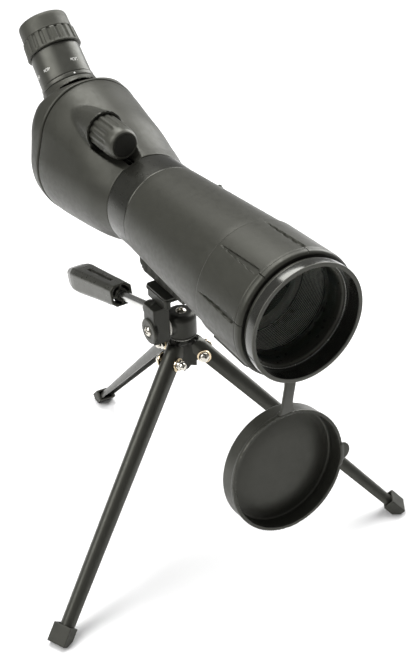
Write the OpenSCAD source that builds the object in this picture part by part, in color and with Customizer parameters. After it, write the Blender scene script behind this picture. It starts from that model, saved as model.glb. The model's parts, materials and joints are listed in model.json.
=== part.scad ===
// Angled zoom spotting scope, 60 mm objective, on its folding table tripod.
// Origin: on the floor, under the middle of the whole. The scope looks along -Y.
// Inside the modules X and Y are measured from the tripod's pan axis, which stands at pan_x, pan_y.

/* [Scope] */
// Height of the optical axis above the floor
axis_z = 220; // [214:1:232]
// Distance from the pan axis forward to the front rim
rim_f = 130.5; // [126:0.5:140]
// Radius of the front ring, outside
ring_r = 34.6; // [33.8:0.1:34.8]
// Radius of the front ring's bore
ring_bore_r = 32.2; // [32:0.1:32.4]
// Radius of the barrel where it meets the collar
collar_r = 29.4; // [29:0.1:30]
// Radius of the hood at its front edge
hood_r = 36.6; // [36.4:0.1:37]
// Length of the hood section
hood_len = 43.5; // [40:0.5:48]

/* [Eyepiece] */
// Angle between the eyepiece axis and the optical axis
eye_angle = 45; // [45:45]
// Distance from the pan axis back to where the two axes cross
eye_y = 95.5; // [94:0.5:97]
// Distance from that crossing to the top of the eyecup
cup_top = 100.1; // [99:0.1:102]
// Radius of the eyecup
cup_r = 16.5; // [16:0.1:17]
// Radius of the zoom grip at its wide end
grip_r = 18.3; // [17.5:0.1:18.5]

/* [Focus] */
// Sideways place of the focus knob's axis
knob_x = -12.5; // [-14:0.5:-11]
// Height of the focus knob's axis above the optical axis
knob_up = 37.4; // [36.5:0.1:38.5]
// Radius of the focus knob
knob_r = 10.3; // [9.5:0.1:10.5]

/* [Head] */
// Height of the tilt axis
tilt_z = 151.5; // [151:0.5:152]
// Height of the platform that carries the scope
deck_z = 176; // [175.5:0.5:176.5]
// Downward slope of the handle
handle_slope = 15.5; // [12:1:20]
// Length of the handle's grip
handle_len = 71; // [60:1:80]

/* [Tripod] */
// Radius of the circle the feet stand on
foot_circle_r = 140.5; // [120:1:150]
// Height of the leg pivots
pivot_z = 128.4; // [126:0.2:130]
// Radius of the circle the leg pivots lie on
pivot_r = 14; // [14:0.1:14.5]
// Turn of the tripod under the scope
tripod_turn = -4; // [-10:1:10]
// Width of a leg at its top
leg_w = 11; // [10:0.1:11.2]

/* [Cap] */
// Outer radius of the objective cap
cap_r = 36.4; // [35.8:0.1:36.8]
// Lean of the hanging cap
cap_lean = 8; // [0:1:12]

/* [Hidden] */
$fn = 96;
pan_x = 4.9;
pan_y = -23.3;
gap = 0.1;             // between curved faces that are fixed together
run = 0.05;            // radial clearance of a running fit
groove_f = rim_f - 6.2;         // back of the front ring's land
armour_f = groove_f - 3;        // front edge of the hood's rubber
hood_f = armour_f - hood_len;   // back edge of the hood
seam_f = -11;                   // barrel to collar
shell_f = -33;                  // collar to prism housing
seam_y = 105;                   // prism housing to rear cover
barrel_front_r = 34.9;          // barrel armour where the hood starts
hood_back_r = 35.5;
groove_r = 32.9;                // tether groove
loop_r = 33.6;                  // tether loop, outside
cell_bore_r = ring_bore_r - 0.5;  // the front ring's bore behind its shoulder
tube_r = 34.6;                  // barrel tube under the hood, outside
barrel_taper = (barrel_front_r - collar_r) / (hood_f - seam_f);
lens_f = rim_f - 10.7;          // front of the lens retainer
lens_r = 30.1;
shell_t = 2.6;                  // wall of the prism housing
// Prism housing: [y, radius of the lower circle, radius of the upper circle, its rise]
shell = [[33, 28.6, 28.4, 0], [49, 33, 31, 3.5], [63, 35.3, 32.6, 7.6], [80, 37.4, 33.6, 11.5],
         [seam_y, 39.3, 35.5, 16]];
knob_z = axis_z + knob_up;
knob_y = 36.5;                  // front face of the knob
knob_len = 27;
knob_back = knob_y + knob_len;
knob_lean = atan(-knob_x / knob_up);
knob_rad = sqrt(knob_x * knob_x + knob_up * knob_up);
trough_r = knob_r + 1.2;
shaft_r = 2.5;
eye_barrel_r = 14;
cup_s = cup_top - 10.5;         // lower edge of the eyecup
grip_s = cup_top - 22.3;        // lower edge of the zoom grip
index_s = 53.4;                 // lower edge of the index ring
sleeve_s = index_s + 3.2;
splay = atan((foot_circle_r - pivot_r) / pivot_z);
leg_len = sqrt(pow(foot_circle_r - pivot_r, 2) + pow(pivot_z, 2));
leg_turns = [tripod_turn - 60, tripod_turn + 60, tripod_turn + 180];
leg_back = 5.6;                 // the channel's back, outward of the pivot
leg_front = 3.4;                // the channel's open edge, inward of it
leg_top = 11;                   // the channel's end above the pivot
leg_wall = 1.1;
foot_w = leg_w - 1.6;           // the channel at its lower end
foot_back = leg_back - 1.2;
foot_front = leg_front - 2.8;
lug_r = 3.3;                    // the hub's lug inside a leg's channel
lug_w = 5.2;
bolt_r = 2;
tilt_rod_r = 2.4;                // shank of the tilt bolt
hub_top = 140.9;
pan_bottom = 142;
pan_top = 158.3;
pan_r = 9.6;
side_in = -11;                  // bracket cheek, inner face
side_out = -22;                 // bracket cheek, outer face
arm_z = 170;                    // underside of the bracket's arm
arm_top = arm_z + 1.6;
wheel_h = 1.2;
plate_low = deck_z - 3;         // underside of the platform plate
deck_y = 4;                     // the camera screw stands this far behind the pan axis
handle_x = -16.5;
handle_z = 162.2;               // where the handle's axis leaves the cheek
cheek_r = 8.2;
tether_x = -5.6;
loop_f = (groove_f + armour_f) / 2;
strap_w = 7;
strap_t = 1.8;
hinge_z = axis_z - 37.7;        // where the tether strap hangs from its loop
hinge_y = -loop_f;
cap_at = [tether_x - 1, -125.5, 122.5];
rim_y = cap_at[1] + (cap_r + 1.3) * sin(cap_lean);   // where the cap hangs from its strap
rim_z = cap_at[2] + (cap_r + 1.3) * cos(cap_lean);

// ---------- frames ----------

// Children moved from the pan axis to the part's frame.
module place() {
  translate([pan_x, pan_y, 0]) children();
}

// Children in the scope's frame: local +Z looks forward, local +Y is up.
module on_axis() {
  translate([0, 0, axis_z]) rotate([90, 0, 0]) children();
}

// Children in the eyepiece's frame: local +Z points out of the eyecup.
module on_eye() {
  translate([0, eye_y, axis_z]) rotate([-eye_angle, 0, 0]) children();
}

// A turned piece about the optical axis, from points [radius, forward].
module scope_turned(points) {
  on_axis() rotate_extrude() polygon(points);
}

// A turned piece about the eyepiece axis, from points [radius, distance out].
module eye_turned(points) {
  on_eye() rotate_extrude() polygon(points);
}

// Radius of the barrel's armour at a distance forward of the pan axis.
function barrel_at(forward) = collar_r + (forward - seam_f) * barrel_taper;

// A plain ring from points r_in, r_out, low and high.
function ring(r_in, r_out, low, high) = [[r_in, low], [r_out, low], [r_out, high], [r_in, high]];

// A rod along +Y, from y0 to y1.
module rod_y(x, y0, y1, z, r) {
  translate([x, y1, z]) rotate([90, 0, 0]) cylinder(r = r, h = y1 - y0);
}

// A rod along +X, from x0 to x1.
module rod_x(x0, x1, y, z, r) {
  translate([x0, y, z]) rotate([0, 90, 0]) cylinder(r = r, h = x1 - x0);
}

// Height of a spherical face at radius x, when it bulges by bow at the middle of a lens of radius r.
function sag(x, r, bow) =
  let (ball = (r * r + bow * bow) / (2 * bow)) sqrt(ball * ball - x * x) - ball + bow;

// A lens of radius r about Z, its rim edge thick, its faces bulging by bow_front and bow_back.
module lens(r, edge, bow_front, bow_back) {
  steps = 8;
  rotate_extrude() polygon(concat(
    [for (k = [0 : steps]) [r * k / steps, -edge / 2 - sag(r * k / steps, r, bow_back)]],
    [for (k = [steps : -1 : 0]) [r * k / steps, edge / 2 + sag(r * k / steps, r, bow_front)]]));
}

// A leg's frame: origin at its pivot, the leg runs along -Z, its back faces -Y.
module on_leg(i) {
  rotate([0, 0, leg_turns[i]]) translate([0, -pivot_r, pivot_z]) rotate([-splay, 0, 0]) children();
}

// ---------- tripod ----------

module hub() {
  web_low = 118;
  lug_top = hub_top - 3.4;
  color("#2a2b28") place() difference() {
    union() {
      for (turn = leg_turns) rotate([0, 0, turn]) {
        translate([0, -pivot_r, pivot_z]) rotate([0, 90, 0]) cylinder(r = lug_r, h = lug_w, center = true);
        rotate([90, 0, -90]) linear_extrude(height = lug_w, center = true)
          polygon([[-1, web_low], [5, web_low], [pivot_r, pivot_z - lug_r],
            [pivot_r + lug_r * cos(splay), pivot_z + lug_r * sin(splay)], [9.5, lug_top],
            [-1, lug_top]]);
      }
      translate([0, 0, web_low - 1]) cylinder(r = 5, h = hub_top - web_low + 1);
      translate([0, 0, hub_top - 4.4]) cylinder(r = 6, h = 4.4);
    }
    for (turn = leg_turns) rotate([0, 0, turn]) translate([0, -pivot_r, pivot_z])
      rotate([0, 90, 0]) cylinder(r = bolt_r, h = 20, center = true);
    translate([0, 0, web_low + 1]) cylinder(r = 2.5, h = 30);
  }
}

// Outline of a leg's channel: half-round back, open front. grow is negative for the inside.
module channel(w, back, front, grow) {
  half = w / 2 + grow;
  union() {
    intersection() {
      translate([0, -back + w / 2]) circle(r = half, $fn = 48);
      translate([-w, -back - 1]) square([2 * w, w / 2 + 1]);
    }
    translate([-half, -back + w / 2 - 0.01]) square([2 * half, front + back - w / 2 + (grow < 0 ? 2 : 0)]);
  }
}

module channel_run(grow) {
  extra = grow < 0 ? 1 : 0;
  hull() {
    translate([0, 0, leg_top - 0.01 + extra]) linear_extrude(height = 0.01)
      channel(leg_w, leg_back, leg_front, grow);
    translate([0, 0, 4 - leg_len - extra]) linear_extrude(height = 0.01)
      channel(foot_w, foot_back, foot_front, grow);
  }
}

module leg(i) {
  color("#3b3c38") place() on_leg(i) difference() {
    channel_run(0);
    channel_run(-leg_wall);
    rotate([0, 90, 0]) cylinder(r = bolt_r + run, h = 20, center = true);
  }
}

module boot(i) {
  wall = 1.5;
  slot_w = foot_w + 0.3;
  slot_d = foot_front + foot_back + 0.4;
  color("#2b2c2a") place() difference() {
    on_leg(i) translate([-slot_w / 2 - wall, -foot_back - 0.2 - wall, -leg_len - 2])
      cube([slot_w + 2 * wall, slot_d + 2 * wall, 12]);
    on_leg(i) translate([-slot_w / 2, -foot_back - 0.2, 3 - leg_len]) cube([slot_w, slot_d, 20]);
    translate([-200, -200, -50]) cube([400, 400, 50]);
  }
}

// A domed fastener end along +X, standing on x = 0.
module dome_end(r, body) {
  rotate([0, 90, 0]) {
    cylinder(r = r, h = body);
    translate([0, 0, body]) intersection() {
      translate([0, 0, -r * 0.35]) sphere(r = r);
      cylinder(r = r, h = r);
    }
  }
}

washer_x = leg_w / 2 + 0.1;
washer_t = 0.8;

module at_pivots() {
  for (turn = leg_turns) rotate([0, 0, turn]) translate([0, -pivot_r, pivot_z]) children();
}

module pivot_bolts() {
  head_x = washer_x + washer_t;
  color("#c9b98c") place() at_pivots() {
    rotate([0, 90, 0]) translate([0, 0, -head_x - 0.1]) cylinder(r = bolt_r, h = 2 * head_x + 2.1);
    mirror([1, 0, 0]) translate([head_x, 0, 0]) dome_end(3.4, 0.8);
  }
}

module pivot_nuts() {
  color("#c9b98c") place() at_pivots() translate([washer_x + washer_t, 0, 0]) difference() {
    dome_end(3.6, 2);
    rotate([0, 90, 0]) translate([0, 0, -1]) cylinder(r = bolt_r, h = 3);
  }
}

module pivot_washers() {
  color("#d8d3c4") place() at_pivots() for (x = [-washer_x - washer_t, washer_x]) difference() {
    rod_x(x, x + washer_t, 0, 0, 4.4);
    rod_x(x - 1, x + washer_t + 1, 0, 0, bolt_r);
  }
}

// ---------- head ----------

module pan_screw() {
  color("#c8c8c4") place() difference() {
    union() {
      translate([0, 0, 120]) cylinder(r = 2.5, h = pan_top - 120);
      translate([0, 0, pan_top + 0.1]) rotate_extrude()
        polygon([[0, -1], [2.5, -1], [2.5, 0], [3.5, 0], [3.5, 0.6], [2.4, 1.5], [0, 1.8]]);
    }
    for (a = [0, 90]) rotate([0, 0, a]) translate([-1.9, -0.4, pan_top + 0.7]) cube([3.8, 0.8, 3]);
  }
}

module pan_washer() {
  color("#e8e4d8") place() translate([0, 0, pan_bottom - 1.05]) difference() {
    cylinder(r = 8, h = 1);
    translate([0, 0, -1]) cylinder(r = 2.6, h = 3);
  }
}

module pan_base() {
  color("#30312e") place() difference() {
    union() {
      rotate_extrude() polygon([[0, pan_bottom], [pan_r - 0.6, pan_bottom],
        [pan_r, pan_bottom + 0.6], [pan_r, pan_top - 2.6], [pan_r - 2, pan_top - 0.6],
        [pan_r - 4, pan_top], [0, pan_top]]);
      rod_x(side_in + 0.8, -2, 0, tilt_z, 6.7);
    }
    translate([0, 0, pan_bottom - 1]) cylinder(r = 2.5 + run, h = 30);
    rod_x(-20, -3.4, 0, tilt_z, tilt_rod_r);
  }
}

module tilt_bolt() {
  head_x = side_out - 1.4;
  color("#c9b98c") place() difference() {
    union() {
      rod_x(head_x - 0.05, -3.6, 0, tilt_z, tilt_rod_r);
      translate([head_x - 0.05, 0, tilt_z]) rotate([0, -90, 0]) rotate_extrude()
        polygon([[0, -1], [tilt_rod_r, -1], [tilt_rod_r, 0], [3.3, 0], [3.3, 0.7], [2.3, 1.6], [0, 1.9]]);
    }
    for (a = [0, 90]) translate([head_x - 1.2, 0, tilt_z]) rotate([a, 0, 0]) translate([-3, -2, -0.4])
      cube([3, 4, 0.8]);
  }
}

module tilt_washer() {
  color("#e8e4d8") place() difference() {
    rod_x(side_in + 0.05, side_in + 0.75, 0, tilt_z, 6.7);
    rod_x(side_in - 1, side_in + 2, 0, tilt_z, tilt_rod_r + run);
  }
}

module tilt_disc() {
  color("#4a4b46") place() difference() {
    rod_x(side_out - 1.35, side_out, 0, tilt_z, 8.2);
    rod_x(side_out - 3, side_out + 1, 0, tilt_z, tilt_rod_r + run);
  }
}

// Children in the handle's frame: origin on the cheek's back face, the handle runs along +Y.
module on_handle() {
  translate([handle_x, cheek_r, handle_z]) rotate([-handle_slope, 0, 0]) children();
}

module tilt_bracket() {
  post_low = tilt_z - 8.1;
  color("#33342f") place() difference() {
    union() {
      rod_x(side_out, side_in, 0, tilt_z, cheek_r);
      translate([side_out, 0, 0]) rotate([90, 0, 90]) linear_extrude(height = side_in - side_out)
        polygon([[-4, post_low], [5.5, post_low], [7, post_low + 1.5], [7, arm_top], [-5.5, arm_top],
          [-5.5, post_low + 1.5]]);
      translate([side_out, -5.5, arm_z]) cube([34, 16, arm_top - arm_z]);
      translate([-14, 0, 0]) rotate([90, 0, 90]) linear_extrude(height = 4)
        polygon([[0, arm_top], [1, 165], [10.5, 163.5], [13.5, 168], [13.5, arm_top]]);
    }
    rod_x(side_out - 1, side_in + 1, 0, tilt_z, tilt_rod_r + run);
    on_handle() rotate([90, 0, 0]) translate([0, 0, -9]) cylinder(r = 3 + run, h = 17.2);
    translate([0, deck_y, arm_z - 1]) cylinder(r = 3.25, h = 6);
  }
}

module rounded_plate(size_x, size_y, corner, h) {
  inner = [size_x - 2 * corner, size_y - 2 * corner];
  linear_extrude(height = h) offset(r = corner) square(inner, center = true);
}

module platform_plate() {
  color("#30312d") place() difference() {
    union() {
      translate([0, deck_y, plate_low]) rounded_plate(26, 27, 6, 1.6);
      translate([-14, 1, arm_top + 0.02]) cube([4, 12, plate_low + 1 - arm_top]);
    }
    translate([0, deck_y, plate_low - 2]) cylinder(r = 3.25, h = 6);
    translate([0, deck_y, plate_low - 2]) cylinder(r = 11.4, h = 2);
  }
}

module platform_pad() {
  color("#1f201e") place() translate([0, deck_y, deck_z - 1.4]) difference() {
    rounded_plate(25.4, 26.4, 5.7, 1.35);
    translate([0, 0, -1]) cylinder(r = 3.6, h = 4);
  }
}

module handle_rod() {
  color("#cfcfcb") place() on_handle() rotate([-90, 0, 0]) translate([0, 0, -7]) cylinder(r = 3, h = 67);
}

module handle_grip() {
  near = 38.6;                  // end of the grip towards the bracket
  color("#3f403b") place() on_handle() difference() {
    hull() {
      translate([0, near, 0]) rotate([-90, 0, 0]) cylinder(r = 9, h = 1, $fn = 12);
      translate([0, near + handle_len * 0.82, 0]) rotate([-90, 0, 0]) cylinder(r = 11.4, h = 1, $fn = 12);
      translate([0, near + handle_len * 0.95, 0]) rotate([-90, 0, 0]) cylinder(r = 9.4, h = 1, $fn = 12);
      translate([0, near + handle_len - 1, 0]) rotate([-90, 0, 0]) cylinder(r = 7, h = 1, $fn = 12);
    }
    rotate([-90, 0, 0]) translate([0, 0, near - 1]) cylinder(r = 3, h = 23);
  }
}

module camera_screw() {
  low = arm_z + 0.3;
  color("#c8c8c4") place() translate([0, deck_y, low]) cylinder(r = 3.1, h = deck_z + 7 - low);
}

module screw_wheel() {
  color("#5a5b57") place() translate([0, deck_y, arm_top + 0.1]) difference() {
    cylinder(r = 11, h = wheel_h);
    translate([0, 0, -1]) cylinder(r = 3.1, h = 4);
    for (a = [0 : 15 : 345]) rotate([0, 0, a]) translate([11.6, 0, -1]) cylinder(r = 1.1, h = 4);
  }
}

// ---------- barrel ----------

module mount_foot() {
  color("#3a3b36") place() difference() {
    union() {
      translate([-11, -22, deck_z + 2]) cube([22, 52, 18]);
      translate([-9.5, -20, deck_z]) cube([19, 48, 3]);
    }
    scope_turned([[0, -60], [collar_r + gap, -60], [collar_r + gap, seam_f], [barrel_front_r + gap, hood_f],
      [0, hood_f]]);
    translate([0, deck_y, deck_z - 1]) cylinder(r = 5, h = 11.5);
  }
}

module foot_insert() {
  color("#b79a52") place() translate([0, deck_y, deck_z + 0.05]) difference() {
    cylinder(r = 5, h = 10.4);
    translate([0, 0, -1]) cylinder(r = 3.1 + run, h = 9);
  }
}

module barrel_tube() {
  color("#262724") place() scope_turned([[24.6, shell_f - 3], [26.2, shell_f - 3], [26.2, seam_f],
    [27.2, seam_f], [barrel_front_r - 1.9, hood_f], [tube_r, hood_f + 6], [tube_r, armour_f],
    [groove_r + gap, armour_f], [groove_r + gap, 103], [31.6, 102], [31.6, hood_f - 2], [25.6, seam_f - 2]]);
}

module barrel_armour() {
  color("#474840") place() scope_turned([[27.3, seam_f], [collar_r - 0.5, seam_f],
    [collar_r, seam_f + 0.5], [barrel_front_r, hood_f - 0.1], [barrel_front_r - 1.8, hood_f - 0.1]]);
}

module hood_armour() {
  color("#474840") place() scope_turned([[barrel_front_r - 1.5, hood_f], [hood_back_r - 0.4, hood_f],
    [hood_back_r, hood_f + 0.8], [hood_r, armour_f - 3], [hood_r - 0.4, armour_f - 1.1],
    [hood_r - 1.4, armour_f], [tube_r + gap, armour_f], [tube_r + gap, hood_f + 6.1]]);
}

module front_ring() {
  color("#3c3d39") place() scope_turned([[cell_bore_r, lens_f - 15], [groove_r, lens_f - 15],
    [groove_r, groove_f], [ring_r, groove_f], [ring_r, rim_f - 0.5], [ring_r - 0.5, rim_f],
    [ring_bore_r + 0.4, rim_f], [ring_bore_r, rim_f - 0.4], [ring_bore_r, lens_f], [cell_bore_r, lens_f]]);
}

module objective_cell() {
  color("#1d1e1c") place() scope_turned([[28, lens_f - 14.5], [cell_bore_r - gap, lens_f - 14.5],
    [cell_bore_r - gap, lens_f - 1.5], [lens_r, lens_f - 1.5], [lens_r, lens_f - 13], [28, lens_f - 13]]);
}

module crown_lens() {
  color("#5c8f7c", 0.5) place() on_axis() translate([0, 0, lens_f - 5.6]) lens(lens_r - 0.05, 2.4, 2.2, 2.2);
}

module flint_lens() {
  steps = 8;
  r = lens_r - 0.05;
  color("#7ba796", 0.5) place() on_axis() translate([0, 0, lens_f - 13]) rotate_extrude() polygon(concat(
    [[0, 0], [r, 0]], [for (k = [steps : -1 : 0]) [r * k / steps, 6 - sag(r * k / steps, r, 2.2)]]));
}

module retainer_ring() {
  color("#6b6c66") place() scope_turned(ring(29.2, cell_bore_r - gap, lens_f - 1.4, lens_f - 0.1));
}

module baffle_tube() {
  ribs = 12;
  pitch = 2.6;
  low = lens_f - 16 - ribs * pitch;
  color("#1a1b19") place() scope_turned(concat([[31.2, low], [31.2, lens_f - 15.1]],
    [for (k = [ribs - 1 : -1 : 0]) each [[29.2, low + (k + 1) * pitch + 0.8], [30.4, low + k * pitch + 1.2]]],
    [[30.4, low]]));
}

module aperture_plates() {
  color("#1a1b19") place() {
    scope_turned([[18, 50], [29.7, 50], [29.7, 51], [18.4, 51]]);
    scope_turned([[16, 20], [27.6, 20], [27.6, 21], [16.4, 21]]);
  }
}

module strap_lug() {
  eye_at = 31.8;                // radius its eye lies on
  color("#3a3b36") place() on_axis() rotate([0, 0, -65]) difference() {
    union() {
      translate([0, eye_at, 0]) rotate([0, 90, 0]) cylinder(r = 2.3, h = 2.2, center = true);
      translate([-1.1, 28.5, -2.3]) cube([2.2, eye_at - 28.5, 4.6]);
    }
    translate([0, eye_at, 0]) rotate([0, 90, 0]) cylinder(r = 1.1, h = 6, center = true);
    rotate_extrude() polygon([[0, -5], [barrel_at(-5) + gap, -5], [barrel_at(15) + gap, 15], [0, 15]]);
  }
}

module collar() {
  inner_r = 26.3;
  color("#3e3f39") place() scope_turned([[inner_r, shell_f + 0.05], [28.5, shell_f + 0.05],
    [28.8, shell_f + 0.6], [29.2, seam_f - 0.8], [28.8, seam_f - 0.2], [inner_r, seam_f - 0.2]]);
}

// ---------- prism housing ----------

// A thin disc of the egg-shaped section at one station.
module disc_at(station, up, r) {
  translate([0, station[0], axis_z + up]) rotate([90, 0, 0]) cylinder(r = r, h = 0.02, $fn = 64);
}

// The housing's body between two distances back, grown by grow.
module shell_body(grow, from, to) {
  hull() for (s = shell) if (s[0] >= from && s[0] <= to) {
    disc_at(s, 0, s[1] + grow);
    disc_at(s, s[3], s[2] + grow);
  }
}

module prism_housing() {
  color("#484942") place() difference() {
    union() {
      shell_body(0, 0, seam_y);
      hull() {
        rod_y(knob_x, knob_back + 1, knob_back + 4, knob_z, trough_r - 0.2, $fn = 32);
        rod_y(knob_x, 98, 100, knob_z + 1, 9, $fn = 32);
      }
    }
    difference() {
      union() {
        shell_body(-shell_t, 40, seam_y);
        translate([0, seam_y + 1, axis_z]) rotate([90, 0, 0]) cylinder(r = 30, h = 30);
        translate([0, seam_y + 1, axis_z + 16]) rotate([90, 0, 0]) cylinder(r = 32, h = 6);
      }
      rod_y(knob_x, 30, knob_back + 4, knob_z, trough_r + 2);
    }
    rod_y(knob_x, 30, knob_back + 1, knob_z, trough_r);
    rod_y(knob_x, knob_back + 4, seam_y + 1, knob_z, 7.5);
    rod_y(knob_x, 30, knob_back + 10, knob_z, shaft_r + run);
    rod_y(0, 30, 52, axis_z, 26.3);
  }
}

module rear_cover() {
  flange = [seam_y + 0.05, 39.3, 35.5, 16];
  color("#484942") place() difference() {
    union() {
      hull() {
        disc_at(flange, 0, 40);
        disc_at(flange, 16, 36.2);
        disc_at([seam_y + 8], 0, 39.4);
        disc_at([seam_y + 8], 16, 35.6);
        disc_at([seam_y + 16], 0, 35);
        disc_at([seam_y + 16], 15, 31);
        disc_at([seam_y + 22], 0, 25);
        disc_at([seam_y + 22], 13, 21);
      }
      eye_turned([[0, 24], [20.6, 24], [19.8, 40], [18.7, index_s - 1.4], [18.1, index_s - 0.05],
        [0, index_s - 0.05]]);
    }
    hull() {
      disc_at([seam_y], 0, 36.6);
      disc_at([seam_y], 16, 32.8);
      disc_at([seam_y + 15], 0, 31.5);
      disc_at([seam_y + 15], 15, 27);
      disc_at([seam_y + 19.5], 0, 22);
      disc_at([seam_y + 19.5], 13, 18);
    }
    translate([-60, 0, 100]) cube([120, seam_y + 0.03, 250]);
    eye_turned([[0, -10], [eye_barrel_r + gap, -10], [eye_barrel_r + gap, 80], [0, 80]]);
  }
}

module prism_holder() {
  color("#2c2d2a") place() difference() {
    union() {
      rod_y(0, 62, 65, axis_z, 31);
      for (x = [-16.5, 13.9]) translate([x, 0, axis_z]) rotate([90, 0, 90]) linear_extrude(height = 2.6)
        polygon([[64.9, -24], [64.9, 17], [84, 22], [92, 20], [103, 2], [100, -20], [84, -24]]);
      translate([-16.5, 64.9, axis_z - 24]) cube([33, 30, 3]);
    }
    rod_y(0, 60, 68, axis_z, 14);
    rod_y(knob_x, 60, 68, knob_z, trough_r + 2.6);
    on_axis() rotate([0, 0, knob_lean]) translate([-4.6, 19, -68]) cube([9.2, 20, 8]);
    for (side = [-1, 1]) rod_y(side * 20, 60, 70, axis_z - 9, 1.5);
  }
}

module erecting_prism() {
  width = 27.6;
  color("#9fb8b0", 0.5) place() translate([-width / 2, 0, axis_z]) rotate([90, 0, 90])
    linear_extrude(height = width)
      polygon([[67, -14], [67, 14], [82, 17], [91, 16], [108, 0], [100, -15], [84, -20]]);
}

module guide_rods() {
  color("#c8c8c4") place() for (side = [-1, 1]) rod_y(side * 20, 36, 65, axis_z - 9, 1.5);
}

// ---------- focus ----------

module focus_knob() {
  flutes = 14;
  color("#3d3e39") place() translate([knob_x, knob_back, knob_z]) rotate([90, 0, 0]) difference() {
    rotate_extrude() polygon([[0, 0], [knob_r - 0.5, 0], [knob_r, 0.6], [knob_r, 14], [knob_r - 0.5, 19],
      [knob_r - 1.2, 23], [knob_r - 2.1, 26.4], [knob_r - 2.8, knob_len], [knob_r - 3.2, knob_len],
      [knob_r - 3.2, knob_len - 1], [0, knob_len - 1]]);
    for (k = [0 : flutes - 1]) rotate([0, 0, k * 360 / flutes]) translate([knob_r + 0.5, 0, -1]) {
      cylinder(r = 1.4, h = 17);
      translate([0, 0, 17]) sphere(r = 1.4);
    }
    translate([0, 0, -1]) cylinder(r = shaft_r, h = 15);
  }
}

module knob_cap() {
  color("#1c1d1b") place() rod_y(knob_x, knob_y + 0.1, knob_y + 1, knob_z, knob_r - 3.25);
}

module focus_shaft() {
  color("#b9b9b4") place() rod_y(knob_x, knob_back - 14, 99, knob_z, shaft_r);
}

module focus_carriage() {
  arm_low = 20.6;
  color("#2c2d2a") place() difference() {
    union() {
      rod_y(0, 41, 49, axis_z, 21);
      for (side = [-1, 1]) rod_y(side * 20, 41, 49, axis_z - 9, 3.4);
      on_axis() rotate([0, 0, knob_lean]) {
        translate([-3, arm_low, -86]) cube([6, 4.2, 45]);
        translate([-3, 14, -49]) cube([6, arm_low - 13, 8]);
        translate([-3, arm_low, -86]) cube([6, knob_rad - arm_low, 6]);
        translate([0, knob_rad, -86]) cylinder(r = 4.6, h = 6);
      }
    }
    rod_y(0, 40, 50, axis_z, 15);
    for (side = [-1, 1]) rod_y(side * 20, 36, 65, axis_z - 9, 1.5 + run);
    rod_y(knob_x, 60, 100, knob_z, shaft_r + run);
  }
}

module focus_lens() {
  color("#9fb8b0", 0.5) place() translate([0, 45, axis_z]) rotate([90, 0, 0]) lens(14.95, 2, 1, 1.4);
}

// ---------- eyepiece ----------

module eyepiece_barrel() {
  color("#232421") place() eye_turned(ring(12.4, eye_barrel_r, 24, 95.5));
}

module field_stop() {
  color("#1a1b19") place() eye_turned([[9, 26], [12.3, 25.5], [12.3, 27], [9.3, 27]]);
}

module index_ring() {
  color("#3a3b36") place() eye_turned([[eye_barrel_r + gap, index_s], [17.2, index_s], [17.4, index_s + 0.4],
    [17.2, sleeve_s - 0.15], [eye_barrel_r + gap, sleeve_s - 0.15]]);
}

module zoom_sleeve() {
  color("#3a3b37") place() eye_turned([[eye_barrel_r + run, sleeve_s], [16.7, sleeve_s], [17, sleeve_s + 0.4],
    [16.5, grip_s - 0.1], [15.6, grip_s - 0.1], [15.6, cup_s - 0.3], [eye_barrel_r + run, cup_s - 0.3]]);
}

module zoom_grip() {
  ribs = 20;
  color("#33342f") place() on_eye() difference() {
    rotate_extrude() polygon([[15.7, grip_s], [grip_r - 0.3, grip_s], [grip_r, grip_s + 0.4],
      [grip_r - 0.6, cup_s - 1], [grip_r - 1.1, cup_s - 0.2], [15.7, cup_s - 0.2]]);
    for (k = [0 : ribs - 1]) rotate([0, 0, k * 360 / ribs]) translate([grip_r + 0.2, 0, grip_s + 1.6])
      cylinder(r = 0.9, h = 9);
  }
}

// A sliding lens cell of the zoom, its lens set in it, from low along the eyepiece axis.
module zoom_cell(low, bow) {
  eye_turned(ring(10.4, 12.3, low, low + 8));
  on_eye() translate([0, 0, low + 4]) lens(10.45, 2.4, bow, bow);
}

module zoom_cell_front() {
  color("#4c4d47") place() zoom_cell(36, 1);
}

module zoom_cell_rear() {
  color("#4c4d47") place() zoom_cell(72, 0.8);
}

module eye_lens() {
  color("#7ba796", 0.5) place() on_eye() translate([0, 0, 93]) lens(12.35, 3, 0.8, 1.2);
}

module eyecup() {
  seat_s = 95.6;
  color("#33342f") place() eye_turned([[eye_barrel_r + gap, cup_s], [cup_r + 0.2, cup_s],
    [cup_r + 0.2, cup_s + 0.6], [cup_r, cup_top - 2], [cup_r - 0.5, cup_top - 0.6],
    [cup_r - 1.4, cup_top], [cup_r - 2.2, cup_top], [cup_r - 2.6, cup_top - 0.5],
    [12.9, seat_s + 0.6], [11.6, seat_s + 0.6], [11.6, seat_s], [eye_barrel_r + gap, seat_s]]);
}

// ---------- cap ----------

module tether_loop() {
  color("#33342f") place() {
    scope_turned(ring(groove_r + gap, loop_r, loop_f - 1.1, loop_f + 1.1));
    translate([tether_x - strap_w / 2, hinge_y - strap_t / 2, axis_z - 36.5]) cube([strap_w, strap_t, 3.35]);
  }
}

module tether_strap() {
  color("#33342f") place() translate([tether_x - strap_w / 2, 0, 0]) rotate([90, 0, 90]) {
    linear_extrude(height = strap_w) polygon([[hinge_y - strap_t / 2, hinge_z], [hinge_y - 0.7, 172],
      [rim_y - strap_t / 2, rim_z], [rim_y + strap_t / 2, rim_z], [hinge_y + 1.1, 172],
      [hinge_y + strap_t / 2, hinge_z]]);
    translate([hinge_y, hinge_z]) cylinder(r = strap_t / 2, h = strap_w);
    translate([rim_y, rim_z]) cylinder(r = strap_t / 2, h = strap_w);
  }
}

// Children in the cap's frame: origin at the middle of its rim, local +Z out of its open side.
module on_cap() {
  translate(cap_at) rotate([90 - cap_lean, 0, 0]) children();
}

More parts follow.
